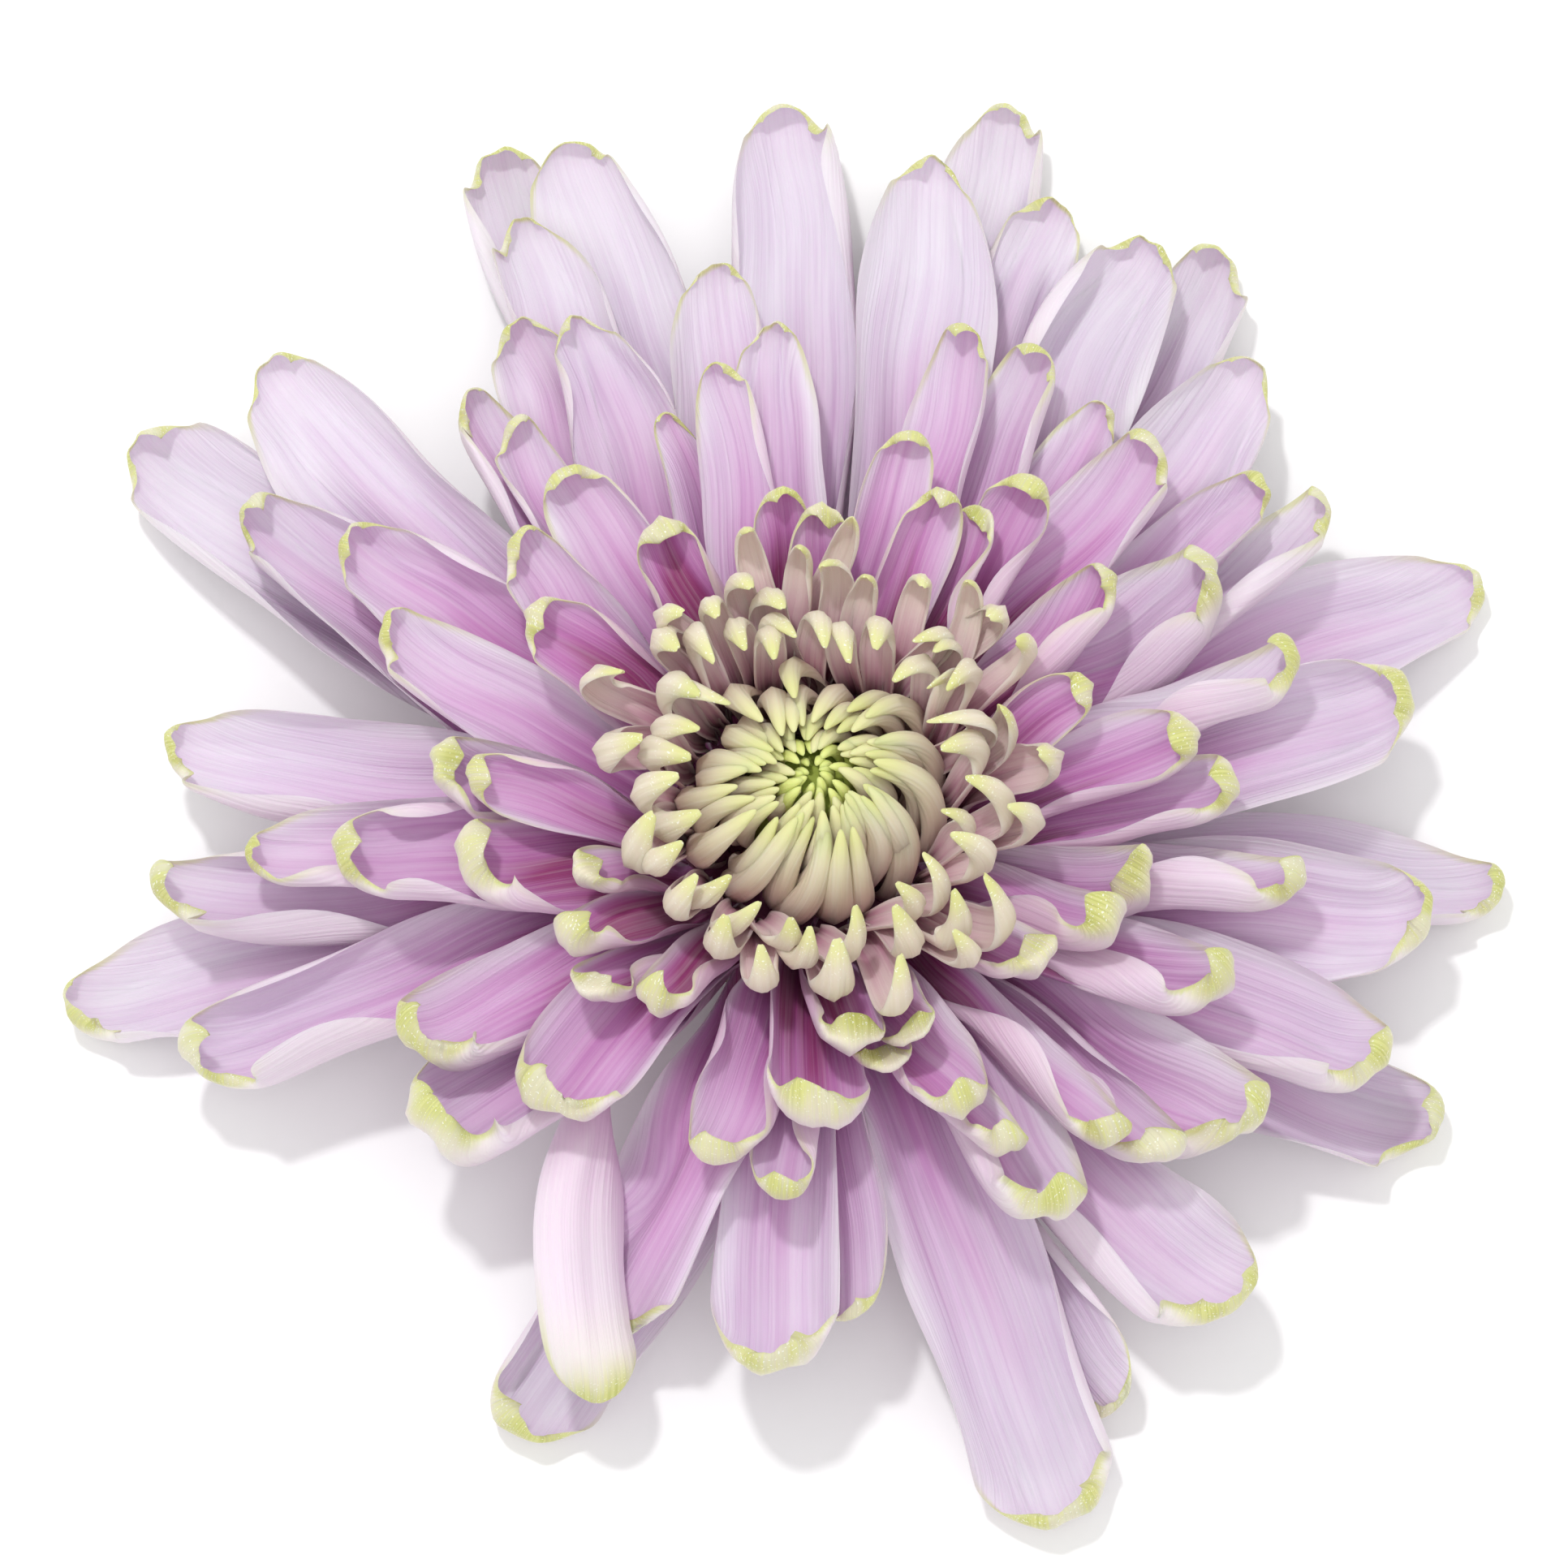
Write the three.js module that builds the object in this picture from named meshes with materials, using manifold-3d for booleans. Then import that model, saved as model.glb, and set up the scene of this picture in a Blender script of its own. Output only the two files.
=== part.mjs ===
// One bloom of a cremon chrysanthemum, picked with a short stub of its stalk. It lies on its back,
// face up, on the backs of its lowest ray florets. Millimetres and degrees, +Z up, table at z = 0,
// the bloom's axis along x = y = 0 until the whole bloom is centred over the origin at the end.
import * as THREE from 'three';
import { mergeVertices } from 'three/addons/utils/BufferGeometryUtils.js';
import loadManifold from 'manifold-3d';

const wasm = await loadManifold();
wasm.setup();

// Driving dimensions
const clearance = 0.3; // air between neighbouring pieces
const stemRadius = 2.8; // at its cut end
const stemNeckRadius = 3;
const stemBottom = 0.8;
const stemTop = 4.7;
const involucreBottom = stemTop + clearance;
const involucreTop = 10;
const collarBottom = involucreTop + clearance;
const collarTop = 14.7;
const collarRadius = 11.2;
const coreBottom = collarTop + clearance;
const eyeBottom = 29.9;
const eyeDomeTop = 31.6;
const bladeThickness = 0.7; // of a broad ray floret
const ribThickness = 1.1; // along the middle of a narrow floret, whose edges are sharp
const broadWidth = 9; // florets at least this wide have a full edge
const tipCurl = { least: 0.3, perWidth: 0.42 }; // radius of the curl at a floret's tip
const hookSeenWhole = 50; // a tip that curls further than this is measured where it bends over

// How high the bend at a floret's tip stands above the table, by its distance from the axis
const bloomProfile = [[8, 32], [15, 31.5], [22, 30.5], [30, 26.5], [40, 21.5], [50, 15.5], [58, 10.5],
  [66, 5.5], [80, 2.5]];
// Where a floret is rooted on the receptacle, by the distance that its tip reaches
const rootRadius = [[24, 12.2], [25, 9.6], [40, 10.2], [60, 10.6]];
const rootHeight = [[24, 18.8], [25, 15.4], [30, 14.2], [45, 13], [60, 12], [80, 11.4]];
// How much steeper than its chord a floret leaves the receptacle
const archRise = [[15, 26], [30, 24], [45, 20], [60, 16], [80, 13]];

// Ray florets, read off the bloom one by one: direction of the tip, its distance from the axis,
// height above the profile, width, curl of the tip, half angle of the trough, how far the root
// is turned from the tip, twist of the blade, and 1 where the floret lies on the table
const rayFlorets = [
  [1, 38, 0, 8, 100, 60, 0, 0, 0],
  [8, 35, 0.5, 7, 115, 55, 0, 15, 0],
  [16, 55.5, 0, 11, 60, 40, 2, 0, 0],
  [19, 46, 0.5, 8.5, 90, 60, 4, -15, 0],
  [19, 27, 0, 5.5, 70, 55, 0, 0, 0],
  [24, 68, 0, 13, 45, 30, 3, 0, 1],
  [33, 43, 0, 9.5, 75, 45, 3, -10, 0],
  [34.5, 57.5, 0, 8, 60, 60, 2, -25, 0],
  [38, 34.5, 0, 7, 70, 65, 0, 0, 0],
  [38.5, 53.5, 0, 10, 45, 35, 0, -10, 0],
  [49, 48, 0, 10.5, 50, 30, 3, 0, 0],
  [50, 62.5, 0, 10.5, 50, 40, 2, 0, 0],
  [56.5, 49, -1, 9, 30, 25, 0, 0, 0],
  [56.5, 36.5, 0, 7, 100, 60, 0, 25, 0],
  [59, 72, 0, 9.5, 60, 45, 2, -15, 1],
  [60, 31.5, 0, 5.5, 90, 60, 0, -20, 0],
  [62, 68.5, 0, 12, 40, 25, 2, 0, 0],
  [65, 50.5, 0, 8.5, 50, 60, 0, -20, 0],
  [67.5, 31, 0, 6.5, 80, 50, 0, 15, 0],
  [70, 69, 0, 10, 40, 30, 0, 0, 0],
  [73, 50, 0, 8, 60, 50, -3, -20, 0],
  [75.5, 36.5, 0, 6, 60, 50, 0, 15, 0],
  [76, 78.5, 0, 11.5, 25, 30, 0, 0, 1],
  [79.5, 70, 0.5, 12, 35, 25, -2, 0, 0],
  [88, 27, 0, 5.5, 80, 55, 0, 0, 0],
  [93, 75, 0, 11.5, 30, 30, 1, 0, 0],
  [94.5, 48.5, 0, 10.5, 25, 25, 0, 0, 0],
  [96, 29, 0, 6, 60, 60, 0, 0, 0],
  [99.5, 57, 0, 9, 40, 40, 0, 0, 0],
  [102, 44.5, 0, 7, 50, 60, 0, 0, 0],
  [108.5, 75, 0, 11.5, 35, 35, -4, 0, 0],
  [110, 41, -1, 5.5, 40, 65, 3, 0, 0],
  [112, 77, 0, 11.5, 40, 40, 0, 0, 1],
  [114, 55, 0, 10, 50, 50, 0, -25, 0],
  [114, 68.5, 1, 10, 45, 45, 0, 0, 0],
  [119, 57.5, 0, 10.5, 50, 45, -2, 0, 0],
  [119.5, 29, 0, 6.5, 80, 60, -3, 0, 0],
  [126, 47.5, 0, 6.5, 60, 65, 0, 10, 0],
  [126.5, 39.5, 0, 7.5, 60, 45, 2, 0, 0],
  [127.5, 52.5, 0, 9, 60, 65, 0, 20, 0],
  [137, 70.5, 1, 12, 30, 25, 2, 0, 0],
  [137.5, 37, 0, 8, 70, 55, 0, 0, 0],
  [146.5, 75.5, 0, 12.5, 45, 25, 3, 0, 1],
  [147.5, 31, 0, 7.5, 80, 50, 0, 0, 0],
  [147.5, 51, 0, 9, 80, 45, 2, 0, 0],
  [149, 61.5, 0, 11.5, 60, 40, 3, 0, 0],
  [155.5, 43, 0, 9.5, 50, 30, 3, 0, 0],
  [170.5, 59.5, 0, 11.5, 35, 30, -2, 0, 0],
  [175.5, 34.5, 0, 8.5, 90, 60, 0, 0, 0],
  [178.5, 31.5, 0.5, 5.5, 110, 60, 0, 0, 0],
  [183.5, 51.5, 0, 8.5, 50, 40, -3, 0, 0],
  [184.5, 59.5, 0, 10, 30, 50, 0, 0, 0],
  [187, 43, 0, 10, 80, 55, -2, 0, 0],
  [190.5, 32.5, 0, 10, 80, 40, 0, 0, 0],
  [192, 68, 0, 13, 50, 25, -3, 0, 1],
  [200.5, 58.5, 0, 10, 70, 50, -4, 0, 0],
  [202.5, 23.5, 0, 5, 110, 50, 0, 0, 0],
  [211.5, 42, 0, 11, 55, 30, -3, 0, 0],
  [213, 27, 0, 6.5, 110, 50, 0, 0, 0],
  [220.5, 45.5, 0, 11, 90, 50, -3, 0, 0],
  [223, 28.5, 0, 6.5, 100, 50, 0, 0, 0],
  [230.5, 37.5, 0, 11, 55, 30, -3, 0, 0],
  [235, 26, 0, 6, 90, 55, 0, 0, 0],
  [244, 59.5, 0, 8.5, 70, 40, 6, 0, 1],
  [249, 49.5, 0, 11, 40, 30, -3, 0, 0],
  [250, 55, 1.5, 9, 30, 30, -12, 150, 0],
  [255, 35.5, 0, 7.5, 60, 65, 0, 0, 0],
  [266, 48, 0, 11, 90, 40, 0, 0, 0],
  [266, 37.5, 0, 7.5, 60, 65, 0, 0, 0],
  [269.5, 31.5, 0.5, 9, 100, 40, 0, 0, 0],
  [273, 46, -1.5, 8, 30, 40, 0, 0, 0],
  [279, 25.5, 0, 6.5, 110, 50, 0, 0, 0],
  [283.5, 27, 0, 6, 100, 50, 0, 0, 0],
  [289.5, 65, 0, 12, 20, 20, -4, 0, 1],
  [292, 26, 0, 5, 100, 50, 0, 0, 0],
  [294, 33, 0, 7.5, 80, 60, 0, 15, 0],
  [295, 58, 0, 9, 40, 30, -2, 0, 0],
  [297, 37, 0, 6.5, 60, 50, -5, 20, 0],
  [299.5, 42.5, 0, 9.5, 60, 65, 5, 0, 0],
  [310.5, 41, 0.5, 7, 70, 45, 5, 20, 0],
  [311.5, 57.5, 0, 11, 50, 35, -3, 0, 0],
  [314, 44, 0, 9, 80, 60, 3, 0, 0],
  [324, 48, 0, 11.5, 60, 30, 2, 0, 0],
  [334, 30, 0, 7.5, 110, 50, 0, 0, 0],
  [336, 40.5, 0, 9, 110, 60, 0, 0, 0],
  [336.5, 61, 0, 10.5, 50, 45, -2, 0, 1],
  [337.5, 55, 0, 11.5, 50, 25, 2, 0, 0],
  [345.5, 31, 0, 8, 110, 60, 0, 0, 0],
  [351, 44, 0, 8.5, 80, 65, 2, 0, 0],
  [352.5, 56, 0, 13, 50, 25, 2, 0, 0],
  [357.5, 63, 0, 11.5, 50, 25, 0, 0, 1],
];

// Cream florets with hooked tips, in a ragged ring round the centre, in the same columns
const hookedFlorets = [
  [2.5, 22, 0, 6, 120, 50, 0, 0],
  [18, 18, 0, 5, 80, 50, 0, 0],
  [30, 17, 0, 4, 140, 50, 0, 0],
  [32, 23, 0, 4.5, 130, 50, 0, 0],
  [35.5, 15.5, 0, 3.5, 140, 50, 0, 0],
  [41, 23, 0, 5, 140, 50, 0, 0],
  [44, 18, 0, 4, 140, 50, 0, 0],
  [51, 22.5, 0, 4, 110, 50, 0, 0],
  [52, 17.5, 0, 4, 140, 50, 0, 0],
  [59.5, 21, 0, 4, 130, 50, 0, 0],
  [63, 15.5, 0, 4.5, 140, 50, 0, 0],
  [75, 19, 0, 4, 100, 50, 0, 0],
  [81.5, 23.5, 0, 4.5, 100, 50, 0, 0],
  [88, 19.5, 0, 4.5, 110, 50, 0, 0],
  [93.5, 21.5, 0, 4, 130, 50, 0, 0],
  [98, 15.5, 0, 4, 150, 50, 0, 0],
  [101, 18, 0, 5, 140, 50, 0, 0],
  [105, 23.5, 0, 4, 130, 50, 0, 0],
  [109, 20, 0, 4.5, 140, 50, 0, 0],
  [120, 16, 0, 4, 150, 50, 0, 0],
  [122.5, 19, 0, 4, 140, 50, 0, 0],
  [130, 21, 0, 4.5, 140, 50, 0, 0],
  [134, 16.5, 0, 4.5, 140, 50, 0, 0],
  [139, 19.5, 0, 5, 140, 50, 0, 0],
  [148.5, 16, 0, 5, 140, 50, 0, 0],
  [153.5, 22, 0, 5, 140, 50, 0, 0],
  [171.5, 19.5, 0, 5.5, 140, 50, 0, 0],
  [186, 16, 0, 5, 130, 50, 0, 0],
  [198.5, 18.5, 0, 6, 120, 50, 0, 0],
  [225, 18, 0, 4.5, 120, 50, 0, 0],
  [240.5, 18.5, 0, 5, 100, 50, 0, 0],
  [254.5, 20.5, 0, 4.5, 120, 50, 0, 0],
  [277, 20, 0, 5.5, 120, 50, 0, 0],
  [293, 22, 0, 5, 120, 50, 0, 0],
  [298, 18.5, 0, 5, 120, 50, 0, 0],
  [308, 22, 0, 4, 120, 50, 0, 0],
  [316, 20.5, 0, 5, 130, 50, 0, 0],
  [325, 21, 0, 5.5, 120, 50, 0, 0],
  [331, 17.5, 0, 4.5, 130, 50, 0, 0],
  [346.5, 20.5, 0, 4.5, 130, 50, 0, 0],
  [354, 17.5, 0, 4.5, 140, 50, 0, 0],
];

// Rings of incurved florets that close over the centre: how many, width, first direction, turn from
// root to tip, and the radius and height of the root, the two pulls of the curve and the tip
const centreRings = [
  { count: 14, width: 4.7, first: 5, swirl: 6, path: [[9, 17], [11.8, 20], [11.2, 31], [6.4, 31.6]] },
  { count: 12, width: 4, first: 18, swirl: 8, path: [[7.2, 20], [9.4, 23], [8.8, 31.4], [4.2, 31.8]] },
  { count: 9, width: 3.2, first: 0, swirl: 10, path: [[4.6, 22], [6.2, 25], [5.9, 31], [3.2, 31.4]] },
];
// The eye: rings of unopened florets
const eyeRings = [
  { count: 8, width: 1.9, first: 10, swirl: 10, path: [[2.2, 29], [3.6, 30], [3.6, 32.4], [1.9, 32.4]] },
  { count: 4, width: 1.7, first: 30, swirl: 10, path: [[0.9, 29], [1.6, 30], [1.6, 32.2], [0.8, 32.6]] },
];

// Green bracts under the bloom: how many in a row, root radius and height, tip radius and height,
// and the direction of the first
const bractRows = [
  [8, 5, 7, 12.6, 8.7, 0],
  [11, 7.5, 8.2, 15.6, 9.3, 14],
];
const bractWidth = 4;
const bractArch = 6; // how much steeper than its chord a bract starts
const bractCurl = 4; // radius of the curl at its tip

// The surface that parts the lilac florets below from the cream ones above, as radius and height
const partingProfile = [[0, coreBottom - 0.1], [9.9, coreBottom - 0.1], [10.6, 16.2], [13, 20],
  [16, 23.4], [20, 26.2], [28, 30.6], [28, 45], [0, 45]];
const eyeProfile = [[0, eyeBottom], [2.6, eyeBottom], [3.6, 30.8], [4.4, 33], [4.4, 45], [0, 45]];

// The solid hearts that the florets and bracts grow out of, as radius and height
const collarProfile = [[0, collarBottom], [collarRadius, collarBottom], [14.5, 12], [15.4, 15],
  [13.6, 18.6], [0, 18.6]];
const coreProfile = [[0, coreBottom], [11, coreBottom], [15.5, 21.8], [8.8, 21.8], [6.4, 24.4],
  [4.4, 28.4], [0, 29]];
const eyeDomeProfile = [[0, eyeBottom], [2.4, eyeBottom], [2.2, 30.8], [0, eyeDomeTop]];
const cupProfile = [[0, involucreBottom], [3.2, involucreBottom], [6.4, 6.4], [9.2, 8.2],
  [collarRadius - 0.8, involucreTop], [0, involucreTop]];

// Space kept clear under the collar and over the involucre, as radius and height
const underCollar = [[0, 2], [17, 2], [17, 9.6], [collarRadius, collarBottom], [0, collarBottom]];
const overInvolucre = [[0, involucreTop], [collarRadius, involucreTop], [17, 9.3], [17, 20], [0, 20]];

const toRadians = THREE.MathUtils.degToRad;

function onPolyline(points, x) {
  const last = points.length - 1;
  if (x <= points[0][0]) return points[0][1];
  for (let i = 1; i <= last; i++) {
    const [x0, y0] = points[i - 1];
    const [x1, y1] = points[i];
    if (x <= x1) return y0 + (y1 - y0) * (x - x0) / (x1 - x0);
  }
  return points[last][1];
}

function polar(turn, reach, height) {
  return new THREE.Vector3(reach * Math.cos(toRadians(turn)), reach * Math.sin(toRadians(turn)), height);
}

function direction(turn, rise) {
  return polar(turn, Math.cos(toRadians(rise)), Math.sin(toRadians(rise)));
}

function smooth(x) {
  const t = THREE.MathUtils.clamp(x, 0, 1);
  return t * t * (3 - 2 * t);
}

// Half width of a blade along its length: narrow at the root, widest past the middle, round tip
function halfWidth(blade, s) {
  const tipLength = blade.taper ?? Math.min(0.45, 0.62 * blade.width / blade.length);
  const past = THREE.MathUtils.clamp((s - 1 + tipLength) / tipLength, 0, 1);
  const body = blade.base + (1 - blade.base) * smooth(s / 0.62);
  return blade.width / 2 * body * Math.max(Math.sqrt(1 - past ** 2.6), blade.tip);
}

// A blade's middle line: a curve from the root to the knee, then an arc that curls the tip in
function middleLine(blade) {
  const { root, crown, rise, rootTurn, turn, hook, curl } = blade;
  if (blade.path) return incurvedLine(blade);
  const side = polar(turn + 90, 1, 0);
  const seen = toRadians(Math.min(hook, hookSeenWhole));
  let knee = crown.clone();
  let ahead = crown.clone().sub(root).normalize();
  let middle = root;
  for (let pass = 0; pass < 4; pass++) {
    const inward = ahead.clone().cross(side).normalize();
    knee = crown.clone().addScaledVector(ahead, -curl * Math.sin(seen))
      .addScaledVector(inward, -curl * (1 - Math.cos(seen)));
    middle = root.clone().addScaledVector(direction(rootTurn, rise), knee.distanceTo(root) / 2);
    ahead = knee.clone().sub(middle).normalize();
  }
  const body = new THREE.QuadraticBezierCurve3(root, middle, knee);
  const inward = ahead.clone().cross(side).normalize();
  const bodyLength = body.getLength();
  const arcLength = curl * toRadians(hook);
  const steps = [];
  for (const t of blade.bodySteps) {
    steps.push({ point: body.getPointAt(t), ahead: body.getTangentAt(t), along: bodyLength * t });
  }
  for (let i = 1; i <= blade.arcSteps; i++) {
    const angle = toRadians(hook) * i / blade.arcSteps;
    const point = knee.clone().addScaledVector(ahead, curl * Math.sin(angle))
      .addScaledVector(inward, curl * (1 - Math.cos(angle)));
    const tangent = ahead.clone().multiplyScalar(Math.cos(angle)).addScaledVector(inward, Math.sin(angle));
    steps.push({ point, ahead: tangent, along: bodyLength + curl * angle });
  }
  blade.length = bodyLength + arcLength;
  return steps;
}

// An incurved floret's middle line is one curve from root to tip
function incurvedLine(blade) {
  const curve = new THREE.CubicBezierCurve3(...blade.path);
  blade.length = curve.getLength();
  return blade.bodySteps.map((t) => (
    { point: curve.getPointAt(t), ahead: curve.getTangentAt(t), along: blade.length * t }));
}

// The points of one cross-section, round the blade
function crossSection(blade, step) {
  const s = step.along / blade.length;
  const half = halfWidth(blade, s);
  const flatSide = polar(blade.turn + 90, 1, 0);
  flatSide.addScaledVector(step.ahead, -flatSide.dot(step.ahead)).normalize();
  const twist = toRadians(blade.roll) * smooth(s / 0.7);
  const side = flatSide.clone().applyAxisAngle(step.ahead, twist);
  const face = step.ahead.clone().cross(side).normalize();
  const cup = toRadians(blade.cup);
  const at = (u, depth) => {
    const angle = u * cup;
    return step.point.clone()
      .addScaledVector(side, half * Math.sin(angle) / cup + depth * Math.sin(angle))
      .addScaledVector(face, half * (1 - Math.cos(angle)) / cup - depth * Math.cos(angle));
  };
  if (blade.width < broadWidth) return [at(-1, 0), at(0, 0), at(1, 0), at(0, ribThickness)];
  const t = bladeThickness;
  return [at(-1, 0), at(0, 0), at(1, 0), at(1, t), at(0, t), at(-1, t)];
}

// Both faces of a blade are split along the same diagonals, so that they can't cross
function bladeGeometry(blade) {
  const sections = middleLine(blade).map((step) => crossSection(blade, step));
  const around = sections[0].length;
  const upperEdges = 2;
  const positions = [];
  const triangle = (a, b, c) => positions.push(...a.toArray(), ...b.toArray(), ...c.toArray());
  for (let i = 1; i < sections.length; i++) {
    for (let j = 0; j < around; j++) {
      const [a, b] = [sections[i - 1][j], sections[i - 1][(j + 1) % around]];
      const [c, d] = [sections[i][j], sections[i][(j + 1) % around]];
      if (j < upperEdges) {
        triangle(a, d, b);
        triangle(a, c, d);
      } else {
        triangle(a, c, b);
        triangle(b, c, d);
      }
    }
  }
  const first = sections[0];
  const last = sections[sections.length - 1];
  const capTriangles = around === 4 ? [[0, 1, 3], [1, 2, 3]] : [[0, 1, 4], [0, 4, 5], [1, 2, 3], [1, 3, 4]];
  for (const [a, b, c] of capTriangles) {
    triangle(first[a], first[b], first[c]);
    triangle(last[c], last[b], last[a]);
  }
  const geometry = new THREE.BufferGeometry();
  geometry.setAttribute('position', new THREE.Float32BufferAttribute(positions, 3));
  return geometry;
}

function toManifold(geometry) {
  const plain = geometry.clone();
  plain.deleteAttribute('normal');
  plain.deleteAttribute('uv');
  const merged = mergeVertices(plain, 1e-4);
  return new wasm.Manifold(new wasm.Mesh({
    numProp: 3,
    vertProperties: new Float32Array(merged.attributes.position.array),
    triVerts: new Uint32Array(merged.index.array),
  }));
}

function fuse(solids) {
  if (solids.length === 1) return solids[0];
  const half = Math.ceil(solids.length / 2);
  return fuse(solids.slice(0, half)).add(fuse(solids.slice(half)));
}

// Keeps the largest closed shell: hollows sealed by crossing florets are filled, scraps dropped
function largestShell(solid) {
  const { vertProperties, triVerts, numProp } = solid.getMesh();
  const owner = Array.from({ length: vertProperties.length / numProp }, (_, i) => i);
  const find = (i) => {
    while (owner[i] !== i) i = owner[i] = owner[owner[i]];
    return i;
  };
  for (let t = 0; t < triVerts.length; t += 3) {
    owner[find(triVerts[t])] = find(triVerts[t + 1]);
    owner[find(triVerts[t + 1])] = find(triVerts[t + 2]);
  }
  const shells = new Map();
  for (let t = 0; t < triVerts.length; t += 3) {
    const shell = find(triVerts[t]);
    if (!shells.has(shell)) shells.set(shell, []);
    shells.get(shell).push(triVerts[t], triVerts[t + 1], triVerts[t + 2]);
  }
  const largest = [...shells.values()].reduce((a, b) => (b.length > a.length ? b : a));
  const geometry = new THREE.BufferGeometry();
  geometry.setAttribute('position', new THREE.Float32BufferAttribute(vertProperties, numProp));
  geometry.setIndex(largest);
  return mergeVertices(geometry.toNonIndexed(), 1e-4);
}

function lathe(profile, segments) {
  const points = profile.map(([r, z]) => new THREE.Vector2(r, z));
  const geometry = new THREE.LatheGeometry(points, segments);
  geometry.rotateX(Math.PI / 2);
  return toManifold(geometry);
}

// The same profile, pushed outwards and down by a clearance
function widened(profile, by) {
  return profile.map(([r, z], i) => [r > 0 ? r + by : 0, i < profile.length - 2 ? z - by : z]);
}

// A ray or hooked floret from its row in the tables above
function floretBlade([turn, reach, lift, width, hook, cup, lean, roll]) {
  const height = onPolyline(bloomProfile, reach) + lift;
  const rootTurn = turn + lean;
  const root = polar(rootTurn, onPolyline(rootRadius, reach), onPolyline(rootHeight, reach));
  const crown = polar(turn, reach, height);
  const chordRise = THREE.MathUtils.radToDeg(Math.atan2(height - root.z, reach - Math.hypot(root.x, root.y)));
  return {
    root, crown, turn, rootTurn, width, hook, cup, roll,
    rise: chordRise + onPolyline(archRise, reach),
    curl: tipCurl.least + tipCurl.perWidth * width,
    base: 0.25,
    tip: 0.3,
    bodySteps: [0, 0.5, 1],
    arcSteps: hook > 95 ? 3 : 2,
  };
}

// The incurved florets of one ring of the centre or the eye
function ringOfBlades({ count, width, first, swirl, path }) {
  return Array.from({ length: count }, (_, i) => {
    const turn = first + i * 360 / count;
    return {
      path: path.map(([r, z], k) => polar(turn + swirl * k / 3, r, z)),
      turn, width, cup: 40, roll: 0, base: 0.6, tip: 0.25, taper: 0.6,
      bodySteps: [0, 0.5, 0.82, 1],
    };
  });
}

// Lowers a floret's tip until the lowest point of its back is on the table
function laidDown(row) {
  const laid = [...row];
  for (let pass = 0; pass < 12; pass++) {
    const geometry = bladeGeometry(floretBlade(laid));
    geometry.computeBoundingBox();
    laid[2] -= geometry.boundingBox.min.z;
  }
  return laid;
}

function rayFloretsGeometry() {
  const rows = rayFlorets.map((row) => (row[8] ? laidDown(row) : row));
  const blades = rows.map((row) => toManifold(bladeGeometry(floretBlade(row))));
  const above = lathe(widened(partingProfile, clearance), 16);
  return largestShell(fuse([lathe(collarProfile, 16), ...blades])
    .subtract(lathe(underCollar, 16)).subtract(above));
}

function centreFloretsGeometry() {
  const blades = [
    ...hookedFlorets.map(floretBlade),
    ...centreRings.flatMap(ringOfBlades),
  ].map((blade) => toManifold(bladeGeometry(blade)));
  const eye = lathe(widened(eyeProfile, clearance), 8);
  return largestShell(fuse([lathe(coreProfile, 12), ...blades])
    .intersect(lathe(partingProfile, 16)).subtract(eye));
}

function eyeFloretsGeometry() {
  const blades = eyeRings.flatMap(ringOfBlades)
    .map((blade) => toManifold(bladeGeometry(blade)));
  return largestShell(fuse([lathe(eyeDomeProfile, 12), ...blades]).intersect(lathe(eyeProfile, 12)));
}

function involucreGeometry() {
  const bracts = bractRows.flatMap(([count, rootR, rootZ, tipR, tipZ, firstTurn]) => (
    Array.from({ length: count }, (_, i) => {
      const turn = firstTurn + i * 360 / count;
      const chordRise = THREE.MathUtils.radToDeg(Math.atan2(tipZ - rootZ, tipR - rootR));
      return toManifold(bladeGeometry({
        root: polar(turn, rootR, rootZ), crown: polar(turn, tipR, tipZ), turn, rootTurn: turn,
        width: bractWidth, hook: 8, cup: 20, roll: 0, rise: chordRise + bractArch, curl: bractCurl,
        base: 0.8, tip: 0.3, bodySteps: [0, 1], arcSteps: 1,
      }));
    })));
  return largestShell(fuse([lathe(cupProfile, 16), ...bracts]).subtract(lathe(overInvolucre, 16)));
}

function stemGeometry() {
  const geometry = new THREE.CylinderGeometry(stemNeckRadius, stemRadius, stemTop - stemBottom, 16);
  geometry.rotateX(Math.PI / 2);
  geometry.translate(0, 0, (stemTop + stemBottom) / 2);
  return geometry;
}

const finishes = {
  lilac: { color: 0xcfa9d3, roughness: 0.6, metalness: 0 },
  cream: { color: 0xe6dcc0, roughness: 0.6, metalness: 0 },
  eyeGreen: { color: 0xb9c85a, roughness: 0.6, metalness: 0 },
  leafGreen: { color: 0x7d9a55, roughness: 0.65, metalness: 0 },
  stalkGreen: { color: 0x8fa868, roughness: 0.65, metalness: 0 },
};

function piece(name, geometry, finish) {
  const mesh = new THREE.Mesh(geometry, new THREE.MeshStandardMaterial(finishes[finish]));
  mesh.name = name;
  return mesh;
}

const bloom = new THREE.Group();
bloom.add(
  piece('ray_florets', rayFloretsGeometry(), 'lilac'),
  piece('centre_florets', centreFloretsGeometry(), 'cream'),
  piece('eye_florets', eyeFloretsGeometry(), 'eyeGreen'),
  piece('involucre', involucreGeometry(), 'leafGreen'),
  piece('stem', stemGeometry(), 'stalkGreen'),
);

// The origin is on the table, under the middle of the bloom's outline
const outline = new THREE.Box3().setFromObject(bloom);
const middle = outline.getCenter(new THREE.Vector3());
bloom.position.set(-middle.x, -middle.y, -outline.min.z);

const part = new THREE.Group();
part.add(bloom);
export default part;
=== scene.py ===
import math

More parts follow.
